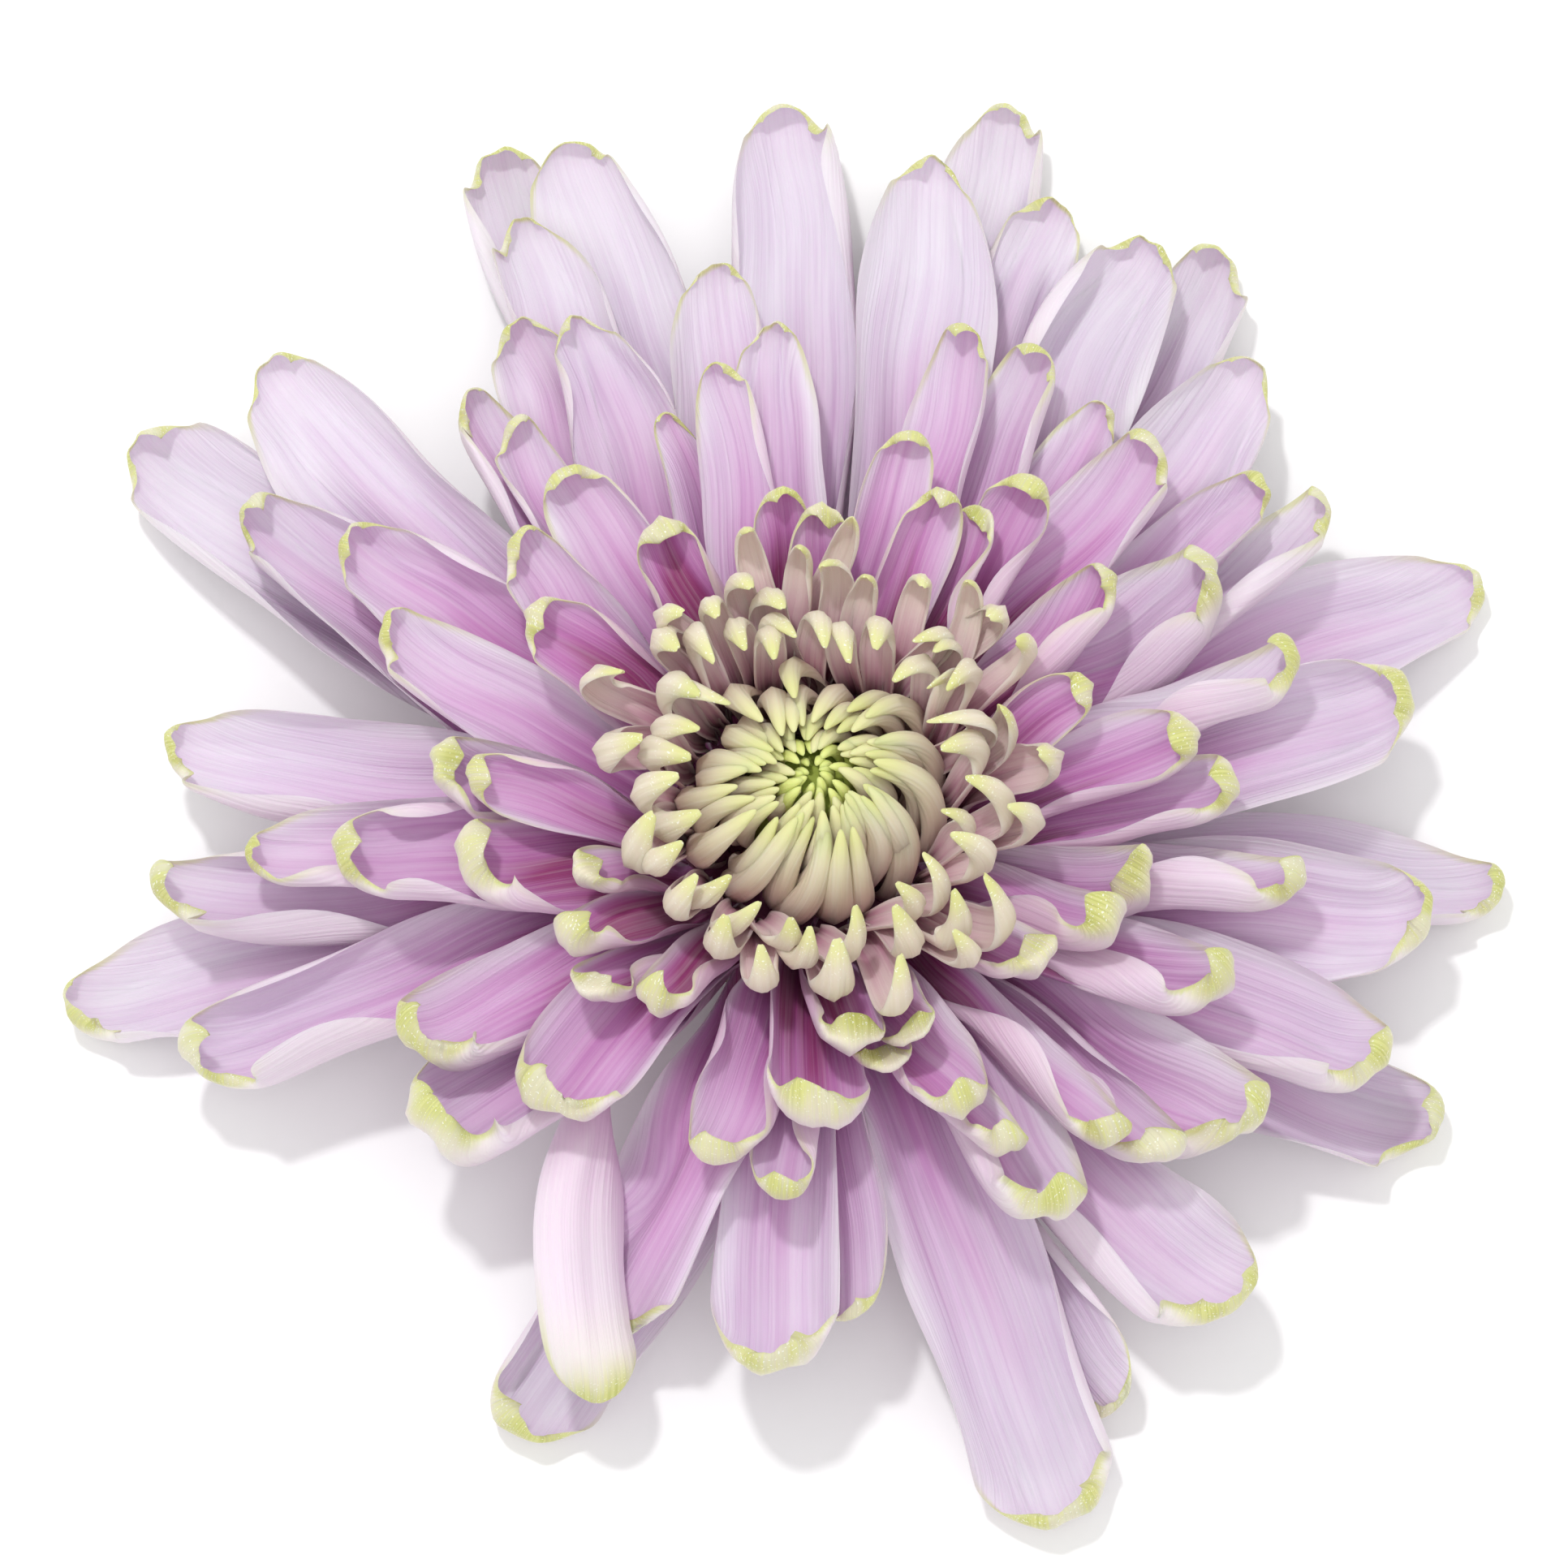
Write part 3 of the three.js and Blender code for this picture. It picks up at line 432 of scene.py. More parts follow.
def openSheet(line, spec, rows, columns, rng):
    # the middle surface of one floret, its stations along and across, and its length
    s = stationsAlong(rows)
    u = stationsAcross(columns)
    fine, points, side, face, length = twisted(line, spec, rng)
    reached = s[:, None] - unevenEnds(spec, u, length, rng)[None, :] * smooth((s - 0.6) / 0.4)[:, None]

    def onLine(values):
        return np.stack([np.interp(reached, fine, values[:, k]) for k in range(3)], axis=-1)

    half = halfWidths(spec, s, length, rng)
    closing = rimAngles(spec, s, rng)
    flatness = onPolyline(spec["floorFlatness"], spec["cup"])
    slope, phase = troughSlopes(spec, s, u, closing, flatness, rng)
    steps = np.diff(u)[:, None]
    across = runningSum(np.cos(slope).T, steps).T
    up = runningSum(np.sin(slope).T, steps).T
    centre = columns // 2
    across -= across[:, centre:centre + 1]
    up -= up[:, centre:centre + 1]
    # the trough keeps the half width that it shows from above, however far its rims curl
    share = np.linspace(0, 1, 41)[:, None]
    half = half * spec["shows"] / runningSum(np.cos(closing * share ** flatness), 1 / 40).max(axis=0)
    up = up * half[:, None] + grooveHeights(spec, s, u, phase, rng)
    across = across * half[:, None]
    line = onLine(points)
    sheet = line + unit(onLine(side)) * across[..., None] + unit(onLine(face)) * up[..., None]
    if spec["centred"]:  # what shows from above lies evenly on both sides of the line
        flat = polar(spec["turn"] + 90, 1, 0)
        shown = (sheet - line) @ flat
        astray = (shown.max(axis=1) + shown.min(axis=1)) / 2
        astray = np.convolve(np.pad(astray, 3, mode="edge"), np.full(7, 1 / 7), "valid") * smooth(s / 0.3)
        sheet = sheet - astray[:, None, None] * flat
    if spec["crumple"]:
        sheet = crumpled(sheet, spec, s, u, length, rng)
    if spec["rests"]:
        for _ in range(3):  # the floret sags until it lies on the table
            above = sheet[..., 2].min() - spec["thickness"] / 2 - bloomForm["restGap"]
            sheet[..., 2] -= above * smooth(s / 0.75)[:, None]
    return sheet, s, u, length


# Florets laid one under another
class Ceiling:
    # for each spot of the table, the underside of the lowest floret placed so far
    def __init__(self, size=172, cell=0.6, slope=1.2):
        self.cell = cell
        self.step = cell * slope
        self.count = int(size / cell)
        self.half = size / 2
        self.height = np.full((self.count, self.count), 99.0)

    def spots(self, points):
        return np.clip((points[..., :2] + self.half) / self.cell, 0, self.count - 1.001)

    def over(self, points):
        # its height over each point
        place = self.spots(points)
        low = place.astype(int)
        a, b = np.moveaxis(place - low, -1, 0)
        i, j = np.moveaxis(low, -1, 0)
        i2, j2 = np.moveaxis(np.minimum(low + 1, self.count - 1), -1, 0)
        h = self.height
        near = h[i, j] * (1 - a) * (1 - b) + h[i2, j] * a * (1 - b)
        return near + h[i, j2] * (1 - a) * b + h[i2, j2] * a * b

    def lower(self, sheet, thickness):
        # brought down to the underside of one more floret, with slopes around it
        fine = refine(refine(sheet)).reshape(-1, 3)
        place = np.round(self.spots(fine)).astype(int)
        np.minimum.at(self.height, (place[:, 0], place[:, 1]), fine[:, 2] - thickness)
        for _ in range(9):
            around = [np.roll(self.height, shift, axis) + self.step for axis in (0, 1) for shift in (1, -1)]
            self.height = np.minimum.reduce([self.height, *around])


def refine(sheet):
    # with a point more between any two
    rows = np.empty((sheet.shape[0] * 2 - 1,) + sheet.shape[1:])
    rows[::2] = sheet
    rows[1::2] = (sheet[1:] + sheet[:-1]) / 2
    both = np.empty((rows.shape[0], rows.shape[1] * 2 - 1, 3))
    both[:, ::2] = rows
    both[:, 1::2] = (rows[:, 1:] + rows[:, :-1]) / 2
    return both


def spread(values, passes, widen):
    # widens the largest values a little and then evens them out
    for k in range(passes):
        p = np.pad(values, 1, mode="edge")
        around = [p[:-2, 1:-1], p[2:, 1:-1], p[1:-1, :-2], p[1:-1, 2:], p[1:-1, 1:-1]]
        values = np.maximum.reduce(around) if k < widen else sum(around) / 5
    return values


def pressed(sheet, s, ceiling, look):
    # the sheet pushed down until it clears everything above it, smoothly first and then exactly,
    # but for its root, which stays in the receptacle
    thickness = look["thickness"]
    lowered = sheet.copy()
    free = smooth(s / look["heldRoot"])[:, None]
    rounds = [(8, 2, look["spacing"] + thickness), (4, 1, 1.2 * thickness), (0, 0, 0.8 * thickness)]
    for passes, widen, gap in rounds:
        excess = np.clip(lowered[..., 2] - ceiling.over(lowered) + gap, 0, look["pressedMost"])
        lowered[..., 2] -= spread(excess, passes, widen) * free
    lowered[..., 2] = np.maximum(lowered[..., 2], thickness / 2 + bloomForm["floorGap"])
    return lowered


# Meshes from sheets, with three layers of values for the materials: place is along, across and
# which side, grain is millimetres across, along and a value of the floret's own, and tint is that
# value, millimetres from the tip and depth in the bloom
layerNames = ("place", "grain", "tint")


def closedFloret(sheet, s, u, length, thickness, own, deep):
    # front and back of one floret, which share the points along its edge
    rows, columns = sheet.shape[:2]
    normals = surfaceNormals(sheet)
    wall = thickness * (1 - 0.75 * np.abs(u) ** 4)[None, :] * (1 - 0.5 * smooth((s - 0.92) / 0.08))[:, None]
    rim = np.ones((rows, columns), bool)
    rim[1:-1, 1:-1] = False
    front = sheet + normals * (wall / 2)[..., None]
    front[rim] = sheet[rim]
    back = sheet - normals * (wall / 2)[..., None]
    frontIndex = np.arange(rows * columns).reshape(rows, columns)
    backIndex = frontIndex.copy()
    backIndex[~rim] = rows * columns + np.arange((~rim).sum())
    quads = []
    for index, order in ((frontIndex, (0, 1, 2, 3)), (backIndex, (0, 3, 2, 1))):
        corners = [index[:-1, :-1], index[1:, :-1], index[1:, 1:], index[:-1, 1:]]
        quads.append(np.stack([corners[k].ravel() for k in order], axis=1))

    def both(grid):
        return np.concatenate([grid.ravel(), grid[~rim]])

    along = np.repeat(s[:, None], columns, 1)
    across = np.repeat(u[None, :], rows, 0)
    widths = np.linalg.norm(np.diff(sheet, axis=1), axis=2)
    widths = np.concatenate([np.zeros((rows, 1)), np.cumsum(widths, axis=1)], 1)
    widths -= widths[:, columns // 2][:, None]
    backness = np.concatenate([np.where(rim, 0.5, 0.0).ravel(), np.ones((~rim).sum())])
    points = np.concatenate([front.reshape(-1, 3), back[~rim]])
    return {
        "points": points, "quads": np.concatenate(quads), "rim": both(rim),
        "place": np.stack([both(along), both(across), backness], 1),
        "grain": np.stack([both(widths), both(along * length), np.full(len(points), own * 97.0)], 1),
        "tint": np.stack([np.full(len(points), own), both((1 - along) * length), both(deep)], 1),
    }


def joinParts(parts):
    joined = {key: np.concatenate([p[key] for p in parts]) for key in ("points", "rim", *layerNames)}
    starts = np.cumsum([0] + [len(p["points"]) for p in parts[:-1]])
    joined["quads"] = np.concatenate([p["quads"] + start for p, start in zip(parts, starts)])
    return joined


def layeredMesh(name, part, faces):
    # a smooth mesh in the frame, with the layers that the materials read
    mesh = bpy.data.meshes.new(name)
    mesh.from_pydata((part["points"] * millimetre + bloomAxis).tolist(), [], faces)
    mesh.polygons.foreach_set("use_smooth", np.ones(len(mesh.polygons), bool))
    for key in layerNames:
        attribute = mesh.attributes.new("floret" + key.capitalize(), "FLOAT_VECTOR", "POINT")
        attribute.data.foreach_set("vector", part[key].astype(np.float32).ravel())
    return mesh


def floretMesh(name, part):
    # sharp along the rim, where front and back meet
    mesh = layeredMesh(name, part, part["quads"].tolist())
    edges = np.zeros(len(mesh.edges) * 2, int)
    mesh.edges.foreach_get("vertices", edges)
    sharp = part["rim"][edges.reshape(-1, 2)].all(1)
    mesh.attributes.new("sharp_edge", "BOOLEAN", "EDGE").data.foreach_set("value", sharp)
    mesh.update()
    return mesh


def addPiece(name, mesh, material, node):
    # a piece in place of one of the solids
    piece = bpy.data.objects.new(name, mesh)
    bpy.context.scene.collection.objects.link(piece)
    mesh.materials.clear()
    mesh.materials.append(material)
    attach(piece, "root")
    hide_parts(node)
    return piece


def floretSpec(floret, look):
    # the look with what the floret's own row, its side of the bloom and its width change in it
    turn = floret["turn"]
    width = floret["width"]
    roll = floret["roll"]
    if isOverturned(floret):
        look = dict(look, **overturnedLook)
    troughed = float(smooth((floret["cup"] - 25) / 25))
    horned = float(smooth((floret["cup"] - 30) / 25) * smooth((11.5 - width) / 3))
    pointed = onPolyline(look["pointed"], fromFront(turn))
    tips = {key: [between(look[key][:2], pointed), look[key][2]]
            for key in ("tipLength", "tipPower", "tipSharpness")}
    return dict(
        look, **tips, turn=turn, width=width * look["slim"], cup=floret["cup"], roll=roll, horned=horned,
        away=-look["rollBias"] * max(math.cos(math.radians(turn)), 0) * troughed, rests=floret["rests"],
        crumple=look["crumple"] * (1 - 0.6 * pointed), rollSpread=look["rollSpread"] if roll == 0 else 3,
        grooves=[-0.36, 0.34] if width > 8 else [0.0])


def radialDeep(sheet):
    # 1 in the depths of the bloom, 0 at its outermost tips
    inner, outer = bloomForm["deepReach"]
    reach = np.hypot(sheet[..., 0], sheet[..., 1])
    return np.clip(1 - (reach - inner) / (outer - inner), 0, 1)


print("stage: sheets of the hooked and ray florets")
ceiling = Ceiling()
hookedParts = []
rng = np.random.default_rng(hookedLook["seed"])
wall = hookedLook["thickness"]
for floret in sorted(named(hookedFlorets), key=lambda f: f["reach"]) + named(leaningFlorets):
    line = floretLine(floret, hookedLook)
    sheet, s, u, length = openSheet(line, floretSpec(floret, hookedLook), *bloomForm["hookedMesh"], rng)
    above = max(sheet[..., 2].max() + wall / 2 - bloomForm["top"], 0)
    sheet[..., 2] -= above * smooth(s / 0.6)[:, None]
    ceiling.lower(sheet, wall)
    hookedParts.append(closedFloret(sheet, s, u, length, wall, rng.uniform(), radialDeep(sheet)))

rayParts = {group[0]: [] for group in bloomForm["rayGroups"]}
rng = np.random.default_rng(rayLook["seed"])
wall = rayLook["thickness"]
for floret in sorted(named(rayFlorets), key=lambda f: f["reach"] - 6 * f["lift"]):
    group, _, rows, columns = next(g for g in bloomForm["rayGroups"] if floret["reach"] >= g[1])
    line = floretLine(floret, rayLook)
    sheet, s, u, length = openSheet(line, floretSpec(floret, rayLook), rows, columns, rng)
    lowered = pressed(sheet, s, ceiling, rayLook)
    ceiling.lower(lowered, wall)
    rayParts[group].append(closedFloret(lowered, s, u, length, wall, rng.uniform(), radialDeep(lowered)))


# The incurved centre, the eye and the bracts, set out in rings
def incurvedPart(ring, look, rows, columns, rng):
    # one floret of a ring, at direction 0
    path = np.array([polar(ring["swirl"] * k / 3, r, z) for k, (r, z) in enumerate(ring["path"])])
    t = np.linspace(0, 1, 60)[:, None]
    pulls = ((1 - t) ** 3, 3 * t * (1 - t) ** 2, 3 * t ** 2 * (1 - t), t ** 3)
    line = sum(pull * point for pull, point in zip(pulls, path))
    spec = dict(look, turn=0, width=ring["width"], roll=0, rollSpread=0)
    sheet, s, u, length = openSheet(line, spec, rows, columns, rng)
    deep = np.clip((ring["top"] - sheet[..., 2]) / (ring["top"] - ring["foot"]), 0, 1)
    return closedFloret(sheet, s, u, length, look["thickness"], 0.5, deep)


def ringTree(name):
    # sets copies of one floret round the bloom's axis, each with its own tilt, turn and size
    tree = bpy.data.node_groups.new(name, "GeometryNodeTree")
    tree.interface.new_socket("Geometry", in_out="INPUT", socket_type="NodeSocketGeometry")
    inputs = (("Count", "Int"), ("First Turn", "Float"), ("Turn Step", "Float"), ("Turn Spread", "Float"),
              ("Tilt Spread", "Float"), ("Size Spread", "Float"), ("Lift Spread", "Float"), ("Seed", "Int"),
              ("Axis", "Vector"), ("Pivot", "Vector"), ("Material", "Material"))
    sockets = {}
    for label, kind in inputs:
        socket = tree.interface.new_socket(label, in_out="INPUT", socket_type="NodeSocket" + kind)
        sockets[label] = socket.identifier
    tree.interface.new_socket("Geometry", in_out="OUTPUT", socket_type="NodeSocketGeometry")
    given = tree.nodes.new("NodeGroupInput").outputs

    def add(kind, settings=None, **wires):
        # a node of the tree, and its first output in use
        node = tree.nodes.new(kind)
        for key, value in (settings or {}).items():
            setattr(node, key, value)
        for key, value in wires.items():
            socket = next(x for x in node.inputs if x.enabled and x.identifier.replace(" ", "_") == key)
            if isinstance(value, bpy.types.NodeSocket):
                tree.links.new(value, socket)
            else:
                socket.default_value = value
        return next((x for x in node.outputs if x.enabled), None)

    def maths(operation, a, b):
        return add("ShaderNodeMath", {"operation": operation}, Value=a, Value_001=b)

    def random(low, high, salt):
        seed = maths("ADD", given["Seed"], salt)
        return add("FunctionNodeRandomValue", {"data_type": "FLOAT"}, Min_001=low, Max_001=high, Seed=seed)

    def around(spreadOut, salt):
        return random(maths("MULTIPLY", spreadOut, -1.0), spreadOut, salt)

    line = add("GeometryNodeMeshLine", {"mode": "OFFSET"}, Count=given["Count"], Offset=(0.0, 0.0, 0.0))
    turn = maths("MULTIPLY", add("GeometryNodeInputIndex"), given["Turn Step"])
    turn = maths("ADD", turn, given["First Turn"])
    turn = maths("ADD", turn, around(given["Turn Spread"], 0.0))
    tilt = add("ShaderNodeCombineXYZ", Y=around(given["Tilt Spread"], 1.0))
    size = maths("ADD", around(given["Size Spread"], 2.0), 1.0)
    lift = add("ShaderNodeCombineXYZ", Z=around(given["Lift Spread"], 3.0))
    away = add("ShaderNodeVectorMath", {"operation": "MULTIPLY"}, Vector=given["Pivot"],
               Vector_001=(-1.0, -1.0, -1.0))
    rooted = add("GeometryNodeTransform", Geometry=given["Geometry"], Translation=away)
    placed = add("GeometryNodeInstanceOnPoints", Points=line, Instance=rooted, Rotation=tilt, Scale=size)
    step = add("GeometryNodeTranslateInstances", Instances=placed, Translation=given["Pivot"],
               Local_Space=False)
    raised = add("GeometryNodeTranslateInstances", Instances=step, Translation=lift, Local_Space=False)
    turned = add("GeometryNodeRotateInstances", Instances=raised, Pivot_Point=given["Axis"],
                 Rotation=add("ShaderNodeCombineXYZ", Z=turn), Local_Space=False)
    toned = add("GeometryNodeStoreNamedAttribute", {"data_type": "FLOAT", "domain": "INSTANCE"},
                Geometry=turned, Name="ringTone", Value=random(0.0, 1.0, 4.0))
    real = add("GeometryNodeRealizeInstances", Geometry=toned)
    painted = add("GeometryNodeSetMaterial", Geometry=real, Material=given["Material"])
    tree.links.new(painted, tree.nodes.new("NodeGroupOutput").inputs[0])
    return tree, sockets


ringNodes, ringSockets = ringTree("floretRing")


def ringMesh(ring, look, material, rng):
    # one ring of florets as a plain mesh
    part = incurvedPart(ring, look, *look["mesh"], rng)
    source = bpy.data.objects.new("ring", floretMesh("ring", part))
    bpy.context.scene.collection.objects.link(source)
    modifier = source.modifiers.new("Ring", "NODES")
    modifier.node_group = ringNodes
    values = {
        "Count": ring["count"], "First Turn": math.radians(ring["first"]),
        "Turn Step": math.radians(ring.get("step", 360 / ring["count"])),
        "Turn Spread": math.radians(ring["turnSpread"]), "Tilt Spread": math.radians(ring["tiltSpread"]),
        "Size Spread": ring["sizeSpread"], "Lift Spread": ring["liftSpread"] * millimetre,
        "Seed": ring["seed"], "Axis": tuple(bloomAxis), "Material": material,
        "Pivot": tuple(polar(0, *ring["path"][0]) * millimetre + bloomAxis),
    }
    for label, value in values.items():
        modifier[ringSockets[label]] = value
    source.update_tag()
    evaluated = source.evaluated_get(bpy.context.evaluated_depsgraph_get())
    mesh = bpy.data.meshes.new_from_object(evaluated)
    bpy.data.objects.remove(source)
    return mesh


def joinMeshes(name, meshes):
    # several plain meshes with the same attributes as one mesh
    made = []
    for mesh in meshes:
        holder = bpy.data.objects.new(name, mesh)
        bpy.context.scene.collection.objects.link(holder)
        made.append(holder)
    with bpy.context.temp_override(active_object=made[0], selected_editable_objects=made):
        bpy.ops.object.join()
    mesh = made[0].data
    bpy.data.objects.remove(made[0])
    mesh.name = name
    return mesh


# Materials
def tone(red, green, blue):
    # a colour as seen on screen, 0 to 255, as the shader's own light values
    values = []
    for c in (red, green, blue):
        c /= 255
        values.append(c / 12.92 if c <= 0.04045 else ((c + 0.055) / 1.055) ** 2.4)
    return (*values, 1.0)


def mathsNode(operation, swapped=False):
    # an operator on wires, which adds a Math node
    def act(wire, other=0.0):
        pair = (other, wire) if swapped else (wire, other)
        return wire.shop.add("ShaderNodeMath", {"operation": operation}, dict(enumerate(pair)))

    return act


class Wire:
    # an output socket of a material, to be used in expressions
    def __init__(self, shop, socket):
        self.shop = shop
        self.socket = socket

    __add__ = mathsNode("ADD")
    __radd__ = mathsNode("ADD", True)
    __sub__ = mathsNode("SUBTRACT")
    __rsub__ = mathsNode("SUBTRACT", True)
    __mul__ = mathsNode("MULTIPLY")
    __rmul__ = mathsNode("MULTIPLY", True)
    __abs__ = mathsNode("ABSOLUTE")


class Shop:
    # makes the nodes of one material
    def __init__(self, name):
        self.material = bpy.data.materials.new(name)
        self.material.use_nodes = True
        self.tree = self.material.node_tree
        self.tree.nodes.clear()

    def add(self, kind, settings=None, sockets=None, output=0):
        node = self.tree.nodes.new(kind)
        for key, value in (settings or {}).items():
            setattr(node, key, value)
        for key, value in (sockets or {}).items():
            if isinstance(value, Wire):
                self.tree.links.new(value.socket, node.inputs[key])
            else:
                node.inputs[key].default_value = value
        return Wire(self, node.outputs[output])

    def layer(self, name):
        # the three values of one of the mesh's layers
        vector = self.add("ShaderNodeAttribute", {"attribute_name": name}, output="Vector")
        split = self.add("ShaderNodeSeparateXYZ", None, {0: vector}).socket.node
        return [Wire(self, socket) for socket in split.outputs]

    def ease(self, value, low, high):
        # from 0 at low to 1 at high, whichever is the greater
        return self.add("ShaderNodeMapRange", {"interpolation_type": "SMOOTHSTEP"},
                        {0: value, 1: low, 2: high})

    def ramp(self, value, stops):
        colours = self.add("ShaderNodeValToRGB", None, {0: value})
        elements = colours.socket.node.color_ramp.elements
        while len(elements) < len(stops):
            elements.new(0.5)
        for element, (place, colour) in zip(elements, stops):
            element.position = place
            element.color = tone(*colour)
        return colours

    def mix(self, share, first, second):
        # of two colours, which are wires or as seen on screen
        pair = [colour if isinstance(colour, Wire) else tone(*colour) for colour in (first, second)]
        return self.add("ShaderNodeMix", {"data_type": "RGBA"}, {0: share, 6: pair[0], 7: pair[1]}, 2)

    def noise(self, vector, detail=1.0, roughness=0.5, scale=1.0):
        return self.add("ShaderNodeTexNoise", None,
                        {"Vector": vector, "Scale": scale, "Detail": detail, "Roughness": roughness})

    def pack(self, x, y, z):
        return self.add("ShaderNodeCombineXYZ", None, {0: x, 1: y, 2: z})

    def skin(self, looks):
        # the finished material
        shader = self.add("ShaderNodeBsdfPrincipled", None, looks)
        surface = self.tree.nodes.new("ShaderNodeOutputMaterial").inputs["Surface"]
        self.tree.links.new(shader.socket, surface)
        return self.material

    def finish(self, colour, roughness, height, depth, looks):
        # the finished material, with small bumps of this height pattern and depth in metres
        bump = self.add("ShaderNodeBump", None, {"Strength": 1.0, "Distance": depth, "Height": height})
        return self.skin({"Base Color": colour, "Roughness": roughness, "Normal": bump, **looks})


petalSkin = {"Subsurface Weight": 0.3, "Subsurface Radius": (1.0, 0.6, 0.9), "Subsurface Scale": 0.0012,
             "Specular IOR Level": 0.22, "Sheen Weight": 0.04, "Sheen Roughness": 0.4}
# white of the painted glints on the grains of the tips
glintWhite = (252, 251, 246)


def veins(shop, grain, width, slow):
    # fine lengthwise streaks
    across, along, which = grain
    return shop.noise(shop.pack(across * (1 / width), along * slow, which), 1.0, 0.6)


def paintedGlints(shop, grain, fromTip, spacing=0.2):
    # painted glints: white specks where the tiny glassy grains on the skin of a tip catch the light
    across, along, which = grain
    spots = shop.noise(shop.pack(across * (1 / spacing), along * (1 / spacing), which), 0.0)
    return shop.ease(spots, 0.7, 0.77) * shop.ease(fromTip, 5.0, 1.5) * 0.65


lilacColours = {  # those of face and back by depth in the bloom, darker and more saturated in its depths: the florets' own deeper colour there, deepened further as painted shade
    "face": [(0.0, (226, 216, 230)), (0.2, (219, 203, 223)), (0.45, (215, 186, 215)),
             (0.65, (208, 162, 204)), (0.84, (194, 126, 183)), (1.0, (150, 58, 112))],
    "back": [(0.0, (231, 220, 230)), (0.5, (231, 211, 227)), (0.85, (220, 182, 209)), (1.0, (170, 100, 142))],
    "faceLight": (232, 222, 232), "faceDark": (168, 108, 168),  # veins
    "backLight": (240, 233, 236), "backDark": (196, 160, 196),
    "edge": (237, 228, 238), "cream": (236, 230, 214), "green": [(182, 188, 82), (206, 208, 122)],
    "greenRim": (206, 208, 132),
}


def lilacMaterial(colours=lilacColours):
    shop = Shop("lilacPetal")
    along, across, back = shop.layer("floretPlace")
    grain = shop.layer("floretGrain")
    own, fromTip, deep = shop.layer("floretTint")
    edge = abs(across)
    ridge = veins(shop, grain, 0.55, 0.035)
    broad = veins(shop, grain, 2.1, 0.03)
    fine = veins(shop, grain, 0.16, 0.05)
    cloud = shop.noise(shop.pack(grain[0] * 0.3, grain[1] * 0.12, grain[2]))
    # depth in the bloom darkens the florets: partly their own colour, partly painted shade in the recesses
    depth = deep + (broad - 0.5) * 0.28 + (own - 0.5) * 0.26 + (cloud - 0.5) * 0.24
    # paler towards the tip; deeper in the middle of the trough than at its rims, which is painted shade on
    # the trough's floor
    depth = depth - shop.ease(along, 0.45, 1.0) * 0.1 + (0.42 - edge) * 0.34
    light = shop.ease(ridge, 0.42, 0.66) * 0.13 + shop.ease(fine, 0.45, 0.65) * 0.09
    dark = (shop.ease(ridge, 0.52, 0.34) * 0.15 + shop.ease(fine, 0.45, 0.3) * 0.11) * (deep * 0.8 + 0.4)
    face = shop.mix(light, shop.ramp(depth, colours["face"]), colours["faceLight"])
    face = shop.mix(dark, face, colours["faceDark"])
    face = shop.mix(shop.ease(edge, 0.6, 0.98) * 0.7, face, colours["edge"])
    behind = shop.mix(light * 0.8, shop.ramp(deep, colours["back"]), colours["backLight"])
    behind = shop.mix(dark * 0.6, behind, colours["backDark"])
    colour = shop.mix(back, face, behind)
    colour = shop.mix(shop.ease(fromTip, 12.0, 3.0) * back * 0.6, colour, colours["cream"])
    green = shop.mix(shop.ease(fine, 0.35, 0.65), *colours["green"])
    mottled = shop.ease(cloud + (fine - 0.5) * 0.5, 0.34, 0.6)
    lip = shop.ease(fromTip, 6.0, 0.8) * back * (0.45 + mottled * 0.45)
    lip = lip + shop.ease(fromTip, 1.2, 0.3) * (1 - back) * 0.8
    colour = shop.mix(lip, colour, green)
    rim = shop.ease(edge + (fine - 0.5) * 0.12, 0.82, 0.95) * shop.ease(fromTip, 15.0, 2.0)
    colour = shop.mix(rim * 0.85, colour, colours["greenRim"])
    # painted glints on the grains near the tips
    colour = shop.mix(paintedGlints(shop, grain, fromTip) * back, colour, glintWhite)
    return shop.finish(colour, 0.46 + fine * 0.16, ridge + fine * 0.35, 0.00014, petalSkin)


creamColours = {  # those of face and back from the upper part down to the root, darkest at the root: the florets' own mauve base, deepened as painted shade low in the bloom
    "face": [(0.0, (222, 207, 196)), (0.3, (216, 187, 192)), (0.65, (198, 150, 168)), (1.0, (120, 58, 80))],
    "back": [(0.0, (222, 210, 188)), (0.25, (218, 196, 186)), (0.55, (202, 162, 168)), (1.0, (120, 62, 80))],
    "vein": (238, 229, 218), "edge": (238, 230, 222), "green": [(206, 210, 118), (220, 221, 148)],
}


def creamMaterial(colours=creamColours):
    shop = Shop("creamPetal")
    along, across, back = shop.layer("floretPlace")
    grain = shop.layer("floretGrain")
    own, fromTip, _ = shop.layer("floretTint")
    ridge = veins(shop, grain, 0.45, 0.05)
    fine = veins(shop, grain, 0.15, 0.08)
    # darker towards the root, painted shade low in the bloom
    low = shop.ease(along, 0.75, 0.1)
    colour = shop.mix(back, shop.ramp(low, colours["face"]), shop.ramp(low, colours["back"]))
    colour = shop.mix(shop.ease(ridge, 0.4, 0.62) * 0.2, colour, colours["vein"])
    colour = shop.mix(shop.ease(abs(across), 0.7, 1.0) * 0.4, colour, colours["edge"])
    tip = shop.ease(fromTip + (fine - 0.5) * 1.2, 3.6, 0.4)
    colour = shop.mix(tip * 0.8, colour, shop.mix(own, *colours["green"]))
    # painted glints on the grains near the tips
    colour = shop.mix(paintedGlints(shop, grain, fromTip), colour, glintWhite)
    return shop.finish(colour, 0.45 + fine * 0.15, ridge + fine * 0.35, 0.00011, petalSkin)


ballColours = {
    "skin": [(0.0, (222, 217, 176)), (0.22, (226, 212, 186)), (0.48, (224, 202, 188)),
             (0.75, (202, 160, 162)), (1.0, (132, 70, 82))],  # from the top down, darkening low down: the florets' own mauve, deepened as painted shade between them
    "vein": (240, 234, 222), "green": [(204, 210, 116), (220, 222, 148)],
}


